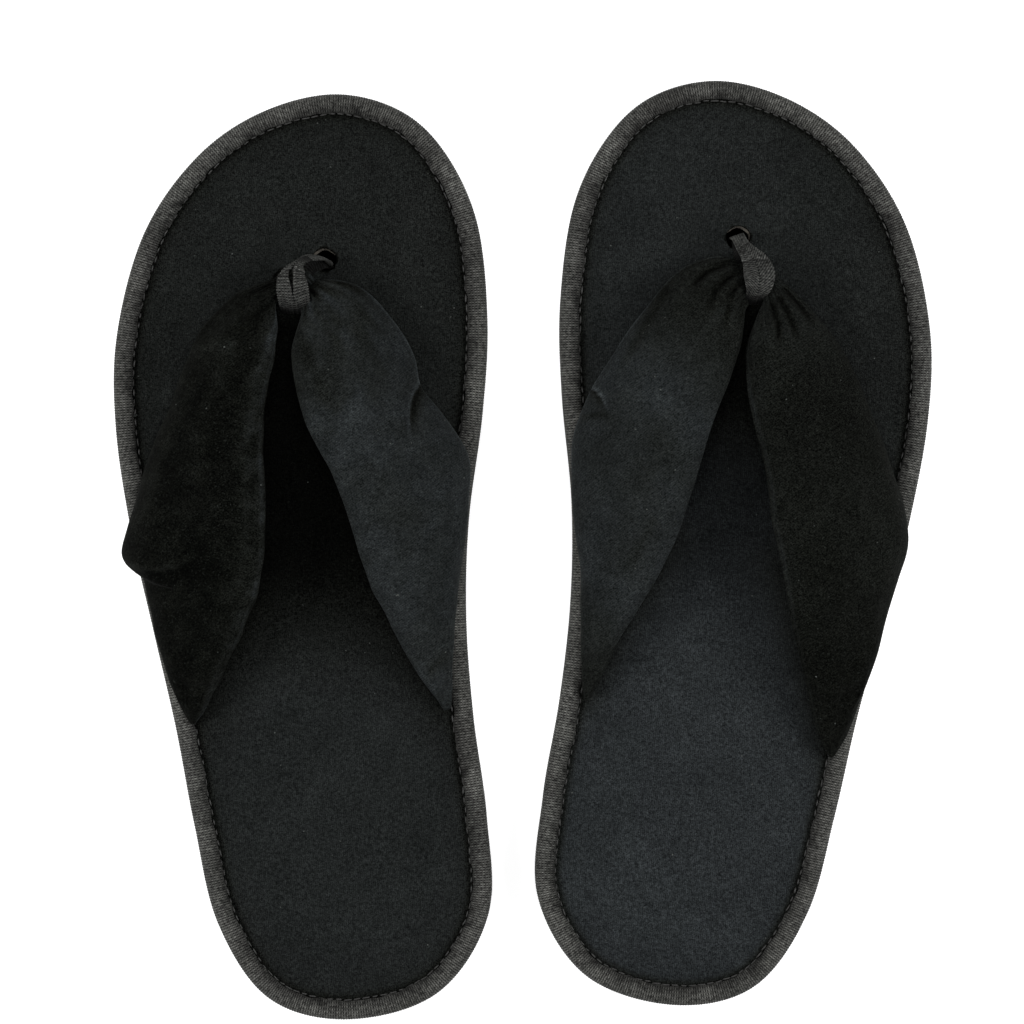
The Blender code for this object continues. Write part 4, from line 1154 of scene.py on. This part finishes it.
def make_strap_cover(slipper):
    """Velvet tube of both arms, gathered at the neck, folded and creased as it lies."""
    f = strap_frame(slipper, STRAP_STEP)
    points, side, rise = strap_points(f, STRAP_AROUND)
    top = np.clip(rise, 0, 1) ** 0.5
    away = np.abs(f["from_neck"])
    seed = SEEDS[slipper]["strap"]
    over = np.repeat(f["from_neck"], STRAP_AROUND)
    lumps = plane_waves(np.c_[over, side.reshape(-1) * 22 * MM], seed, 42 * MM, 9 * MM)
    calm = smoothstep(away, 6 * MM, 22 * MM) * (1 - smoothstep(away, 135 * MM, 160 * MM))
    swell = (0.42 * MM * lumps).reshape(side.shape) * calm[:, None]
    gather = np.zeros_like(swell)
    rng = np.random.default_rng(seed + 1)
    # gathers at the neck, side by side across the strap
    for k in range(11):
        middle = -0.95 + 1.9 * k / 10 + rng.uniform(-0.05, 0.05)
        reach = rng.uniform(0.4, 1.0) * GATHER_REACH[slipper] * MM
        deep = rng.uniform(0.6, 1.2) * MM
        fade = bell(away, 0, reach)[:, None]
        under = np.where(rise < 0, 0.6, 1.0)
        gather -= deep * fade * under * bell(side, middle, 0.06)
    # the seam along the inner edge of the tube
    angle = np.arctan2(rise, side)
    ridge = 0.22 * bell(angle, 0, 0.05) - 0.12 * bell(np.abs(angle), 0.13, 0.05)
    seam_shows = np.where(f["from_neck"] > 0, SEAM_SHOWS[slipper], 0.25) * calm
    radial = swell + gather + ridge * MM * seam_shows[:, None]
    up, across = f["up"][:, None], f["across"][:, None]
    points = points + (radial * np.sign(rise) * np.abs(rise) ** 0.7)[..., None] * up
    points = points + (radial * side * (1 - np.abs(rise)))[..., None] * across
    moved = settled_cloth(slipper, f, STRAP_AROUND)
    swollen = (moved * up).sum(2) * np.sign(rise)
    swollen = np.clip(swollen, -0.3 * MM, CLOTH_LIMIT) * np.where(rise < 0, 0.3, 1.0)
    swollen = swollen * (1 - np.abs(side) ** 6) * calm[:, None] * np.sign(rise)
    points = points + swollen[..., None] * up
    points, shade = fold_strap(slipper, points, top)
    tone = strap_pile(slipper, points.reshape(-1, 3), over, side.reshape(-1), rise.reshape(-1) > 0)
    # painted shade in the gathers at the neck; shade adds painted shade and highlights from the creases
    # and lips
    pleat_shade = np.clip(-gather.reshape(-1) / MM, 0, 1.2)
    tone *= shade * (1 - 0.45 * pleat_shade)
    faces, flat = add_seam_allowances(f, points, tube_faces(points))
    values = {"pile_light_and_shade": np.r_[tone, np.full(len(flat) - len(tone), 0.8)]}
    obj = make_piece(slipper, "strap_cover", flat, faces, STRAP_VELVET, values)
    finish_piece(slipper, obj, ("strap_cover",))


def add_seam_allowances(f, points, faces):
    """Each arm's seam allowance: down from the tube's underside, then out under the tape."""
    flat = points.reshape(-1, 3)
    around = points.shape[1]
    depth, nearest = distance_inside(flat[:, :2])
    depth = depth.reshape(points.shape[:2])
    outer_edge = int(around * STRAP_TOP_SHARE)
    under = np.arange(outer_edge, around)
    blocks = [flat]
    for lateral in (True, False):
        picked = (f["from_neck"] > 0) == lateral
        rows = np.flatnonzero(picked & (points[:, outer_edge, 1] < 12 * MM))[::2]
        rows = rows[:-3] if lateral else rows[3:]
        sheet = []
        for row in rows:
            best = under[np.argmin(np.abs(depth[row, under] - 7.4 * MM))]
            attach = points[row, best]
            inside, spot = distance_inside(attach[None, :2])
            inwards = OUTLINE_INWARDS[spot[0]]
            knee = attach[:2] + (6.9 * MM - inside[0]) * inwards
            end = attach[:2] + (4.2 * MM - inside[0]) * inwards
            start = (*attach[:2], attach[2] + 0.8 * MM)
            path = [start, (*knee, 12.0 * MM), (*knee, 11.35 * MM), (*end, 11.3 * MM)]
            path = catmull_rom(path, 4)
            half = 0.35 * MM * np.array([*inwards, 0.0])
            sheet.append(np.vstack([path + half, (path - half)[::-1]]))
        sheet = np.array(sheet)
        first = sum(len(b) for b in blocks)
        blocks.append(sheet.reshape(-1, 3))
        faces += tube_faces(sheet, first)
    return faces, np.vstack(blocks)


def make_strap_pad(slipper, arm):
    """Foam filling inside one arm."""
    f = strap_frame(slipper, 2.2 * MM)
    points, _, _ = strap_points(f, 26, 1.9 * MM)
    chosen = f["from_neck"] > 14 * MM if arm == "lateral" else f["from_neck"] < -14 * MM
    reach = np.abs(f["from_neck"])
    chosen &= reach < reach[chosen].max() - 9 * MM
    points = points[chosen]
    obj = make_piece(slipper, f"strap_pad_{arm}", points, tube_faces(points), WADDING_LOOK)
    finish_piece(slipper, obj, (f"strap_pad_{arm}",))


# ---------------------------------------------------------------- ribbon thong

# Middle line of the ribbon from the hole over the neck and back under it, and for each point: its
# half width, the half gap between its two halves, how deep its middle is folded in, and its roll in
# degrees. All but the roll in millimetres; zeros at a row's end are left out.
THONG = {
    "left": [
        ((-8.9, 89.4, 4.6), 2.4),
        ((-8.8, 89.6, 8.0), 2.4, 0.0, 0.0, 10),
        ((-8.2, 90.2, 12.0), 2.5, 0.0, 0.2, 20),
        ((-6.0, 90.6, 16.6), 2.7, 0.0, 0.5, 30),
        ((-2.6, 90.0, 20.2), 3.0, 0.1, 0.9, 38),
        ((0.4, 88.0, 22.4), 3.4, 0.2, 1.3, 28),
        ((1.3, 84.8, 23.6), 4.2, 0.7, 1.8, 8),
        ((1.2, 81.6, 24.0), 4.8, 0.35, 2.0),
        ((0.9, 78.4, 23.4), 4.8, 0.05, 1.7),
        ((0.7, 75.8, 21.4), 4.5, 0.0, 1.1),
        ((0.6, 74.4, 18.2), 4.0, 0.0, 0.6),
        ((0.4, 74.6, 15.0), 3.6, 0.0, 0.2),
        ((0.2, 77.4, 12.8), 3.2),
        ((-0.6, 82.6, 12.3), 2.8),
        ((-3.4, 87.6, 12.2), 2.5),
        ((-6.8, 89.2, 10.4), 2.4),
        ((-8.0, 89.2, 7.0), 2.4),
        ((-8.0, 89.2, 4.6), 2.4),
    ],
    "right": [
        ((-5.1, 93.6, 4.6), 2.4),
        ((-5.0, 93.6, 8.0), 2.4),
        ((-4.8, 93.2, 12.4), 2.1, 0.0, 0.3, -8),
        ((-4.3, 91.8, 17.4), 2.1, 0.0, 0.5, -16),
        ((-3.3, 89.8, 21.2), 2.3, 0.0, 0.6, -18),
        ((-1.4, 87.6, 23.2), 3.0, 0.0, 0.8, -12),
        ((0.7, 84.8, 24.0), 4.2, 0.05, 1.3, -4),
        ((2.0, 81.4, 24.2), 4.7, 0.1, 1.6),
        ((2.0, 78.0, 23.4), 4.0, 0.0, 1.4),
        ((1.3, 75.4, 21.4), 2.8, 0.0, 1.0),
        ((0.9, 73.6, 18.4), 2.2, 0.0, 0.6),
        ((0.9, 73.4, 15.0), 2.3, 0.0, 0.2),
        ((0.6, 75.4, 12.9), 2.5),
        ((-0.8, 79.0, 12.3), 2.7),
        ((-2.8, 86.6, 12.2), 2.6),
        ((-3.9, 91.2, 10.8), 2.4),
        ((-4.2, 92.4, 7.4), 2.4),
        ((-4.2, 92.5, 4.6), 2.4),
    ],
}
RIBBON_THICKNESS = 0.55 * MM
RIBBON_RIB = 0.80 * MM
RIBBON_COLUMNS = 9
RIBBON_SLANT = {"left": 0.12, "right": 0.75}
# Where the ribbon's first ply ends over the next, how much that edge slants, and how it bows (per m)
FOLD = {"left": (23.4 * MM, 0.1, 80.0), "right": (23.2 * MM, 0.5, 0.0)}


def ribbon_frame(slipper):
    """The ribbon's rows close together, their places along it, and its sideways and outward directions."""
    rows = [[*row[0], *row[1:], *[0.0] * (5 - len(row))] for row in THONG[slipper]]
    fine = catmull_rom(np.array(rows) * [*[MM] * 6, 1], 40)
    place = travelled(fine[:, :3])
    wanted = np.linspace(0, place[-1], int(place[-1] / (RIBBON_RIB / 6)))
    fine = resampled(fine, place, wanted)
    centre = fine[:, :3]
    along = unit(np.gradient(centre, axis=0))
    hole = np.array(SLIPPERS[slipper]["hole"]) * MM
    neck = np.mean(np.array(SLIPPERS[slipper]["neck"]), axis=0) * MM
    route = neck - hole
    flat_side = np.array([-route[1], route[0], 0.0]) / np.linalg.norm(route)
    towards = smoothstep(np.linalg.norm(centre[:, :2] - hole, axis=1), 3 * MM, 9 * MM)[:, None]
    aside = flat_side * (1 - towards) + np.array([1.0, 0.0, 0.0]) * towards
    aside = unit(aside - (aside * along).sum(1)[:, None] * along)
    outward = np.cross(aside, along)
    roll = np.radians(fine[:, 6])[:, None]
    rolled = aside * np.cos(roll) + outward * np.sin(roll)
    return fine, wanted, rolled, outward * np.cos(roll) - aside * np.sin(roll)


def make_thong(slipper):
    """Ribbed ribbon that loops round the strap's neck, folded along its middle, tails in the hole."""
    fine, wanted, aside, outward = ribbon_frame(slipper)
    centre = fine[:, :3]
    share = np.linspace(0, 1, RIBBON_COLUMNS)
    far_side = wanted > 0.25 * wanted[-1]
    # painted shade where the ribbon's far side drops below the top of the neck
    low_shade = 1 - 0.9 * smoothstep(-centre[:, 2], -23.6 * MM, -19.5 * MM) * far_side
    fold_place, fold_slope, fold_bow = FOLD[slipper]
    blocks, faces = [], []
    values = {"along": [], "across": [], "shade": []}
    for half_index, half in enumerate((-1, 1)):
        half_width, gap, depth = (fine[:, k][:, None] for k in (3, 4, 5))
        x = half * (gap + (half_width - gap) * share)
        fold = depth * (np.cos(math.pi * (1 - share)) * 0.5 + 0.5 - 0.75)
        curl = -0.35 * depth * share**4
        rib_place = wanted[:, None] + RIBBON_SLANT[slipper] * np.abs(x)
        rib = 0.10 * MM * np.cos(2 * math.pi * rib_place / RIBBON_RIB)
        body = RIBBON_THICKNESS / 2 * (1 - 0.75 * (2 * share - 1) ** 8)
        # the first ply ends here and lies over the next one
        fold_edge = wanted[:, None] - fold_place - fold_slope * x - fold_bow * x**2
        ply = 0.55 * MM * (1 - np.tanh(fold_edge / (0.2 * MM)))
        ply *= np.exp(np.minimum(fold_edge, 0) / (5 * MM))
        # painted highlight on the first ply's edge and painted shadow on the ply beneath it
        rim_highlight = bell(fold_edge, -0.5 * MM, 0.5 * MM)
        ply_shadow = np.exp(-np.maximum(fold_edge, 0) / (1.1 * MM)) * (fold_edge > 0)
        tone = low_shade[:, None] * (1 + 0.9 * rim_highlight) * (1 - 0.85 * ply_shadow)
        surfaces = []
        for face in (1, -1):
            lift = fold + curl + ply + face * (body + rib)
            surface = centre[:, None] + x[..., None] * aside[:, None]
            surfaces.append(surface + lift[..., None] * outward[:, None])
        ring = np.concatenate([surfaces[0], surfaces[1][:, ::-1]], 1)
        faces += tube_faces(ring, half_index * ring.shape[0] * ring.shape[1])
        blocks.append(ring.reshape(-1, 3))
        for key, numbers in (("along", rib_place), ("across", np.abs(x)), ("shade", tone)):
            values[key] += np.concatenate([numbers, numbers[:, ::-1]], 1).reshape(-1).tolist()
    obj = make_piece(slipper, "thong_loop", np.vstack(blocks), faces, RIBBON_LOOK, values)
    finish_piece(slipper, obj, ("thong_loop",), bends=False)


# ---------------------------------------------------------------- both slippers

for slipper_name in SLIPPERS:
    make_outsole(slipper_name)
    for inner_layer in INNER_LAYERS:
        make_inner_layer(slipper_name, *inner_layer)
    make_footbed(slipper_name)
    make_binding(slipper_name)
    make_stitches(slipper_name)
    make_strap_cover(slipper_name)
    make_strap_pad(slipper_name, "medial")
    make_strap_pad(slipper_name, "lateral")
    make_thong(slipper_name)
    patch = frame["nodes"][f"{slipper_name}_thong_anchor_patch"]
    for material_slot in patch.material_slots:
        material_slot.material = CLOTH_LOOK


# ---------------------------------------------------------------- floor, light and camera


def add_area_light(name, place, aim, size, power, color=(1, 1, 1)):
    data = bpy.data.lights.new(name, "AREA")
    data.shape = "DISK"
    data.size = size
    data.energy = power
    data.color = color
    light = add_object(name, data)
    light.location = place
    light.rotation_euler = (Vector(aim) - Vector(place)).to_track_quat("-Z", "Y").to_euler()


def add_floor():
    look = Look("floor_paper", 0.95, 0.1)
    speckle = look.noise(8, vector=look.node("ShaderNodeTexCoord").outputs["Object"])
    look.finish(look.toned((0.93, 0.93, 0.93), look.spread(speckle, 0.99, 1.0)))
    look.shader.inputs["Emission Color"].default_value = (1, 1, 1, 1)
    look.shader.inputs["Emission Strength"].default_value = 0.56
    bm = bmesh.new()
    bmesh.ops.create_grid(bm, x_segments=2, y_segments=2, size=3.0)
    bmesh.ops.translate(bm, verts=bm.verts, vec=(0, 0, -0.3 * MM))
    mesh = bpy.data.meshes.new("floor")
    bm.to_mesh(mesh)
    bm.free()
    mesh.materials.append(look.material)
    add_object("floor", mesh)


add_floor()
add_area_light("overhead_softbox", (0.0, 0.05, 0.95), (0, 0, 0), 0.35, 2.6)
add_area_light("left_softbox", (-0.85, 0.0, 0.65), (0, 0, 0), 0.5, 7.0)
add_area_light("right_softbox", (0.85, 0.0, 0.65), (0, 0, 0), 0.5, 7.0)

world = bpy.data.worlds.new("studio")
world.use_nodes = True
world.node_tree.nodes["Background"].inputs["Color"].default_value = (1, 1, 1, 1)
world.node_tree.nodes["Background"].inputs["Strength"].default_value = 0.30
bpy.context.scene.world = world

CAMERA_HEIGHT = 1.5
VIEW_WIDTH = 0.3103
camera_data = bpy.data.cameras.new("camera")
camera_data.sensor_width = 36
camera_data.lens = 36 * CAMERA_HEIGHT / VIEW_WIDTH
camera = add_object("camera", camera_data)
camera.location = (-3.3 * MM, 11.5 * MM, CAMERA_HEIGHT + 8 * MM)
bpy.context.scene.camera = camera
bpy.context.scene.view_settings.view_transform = "Standard"
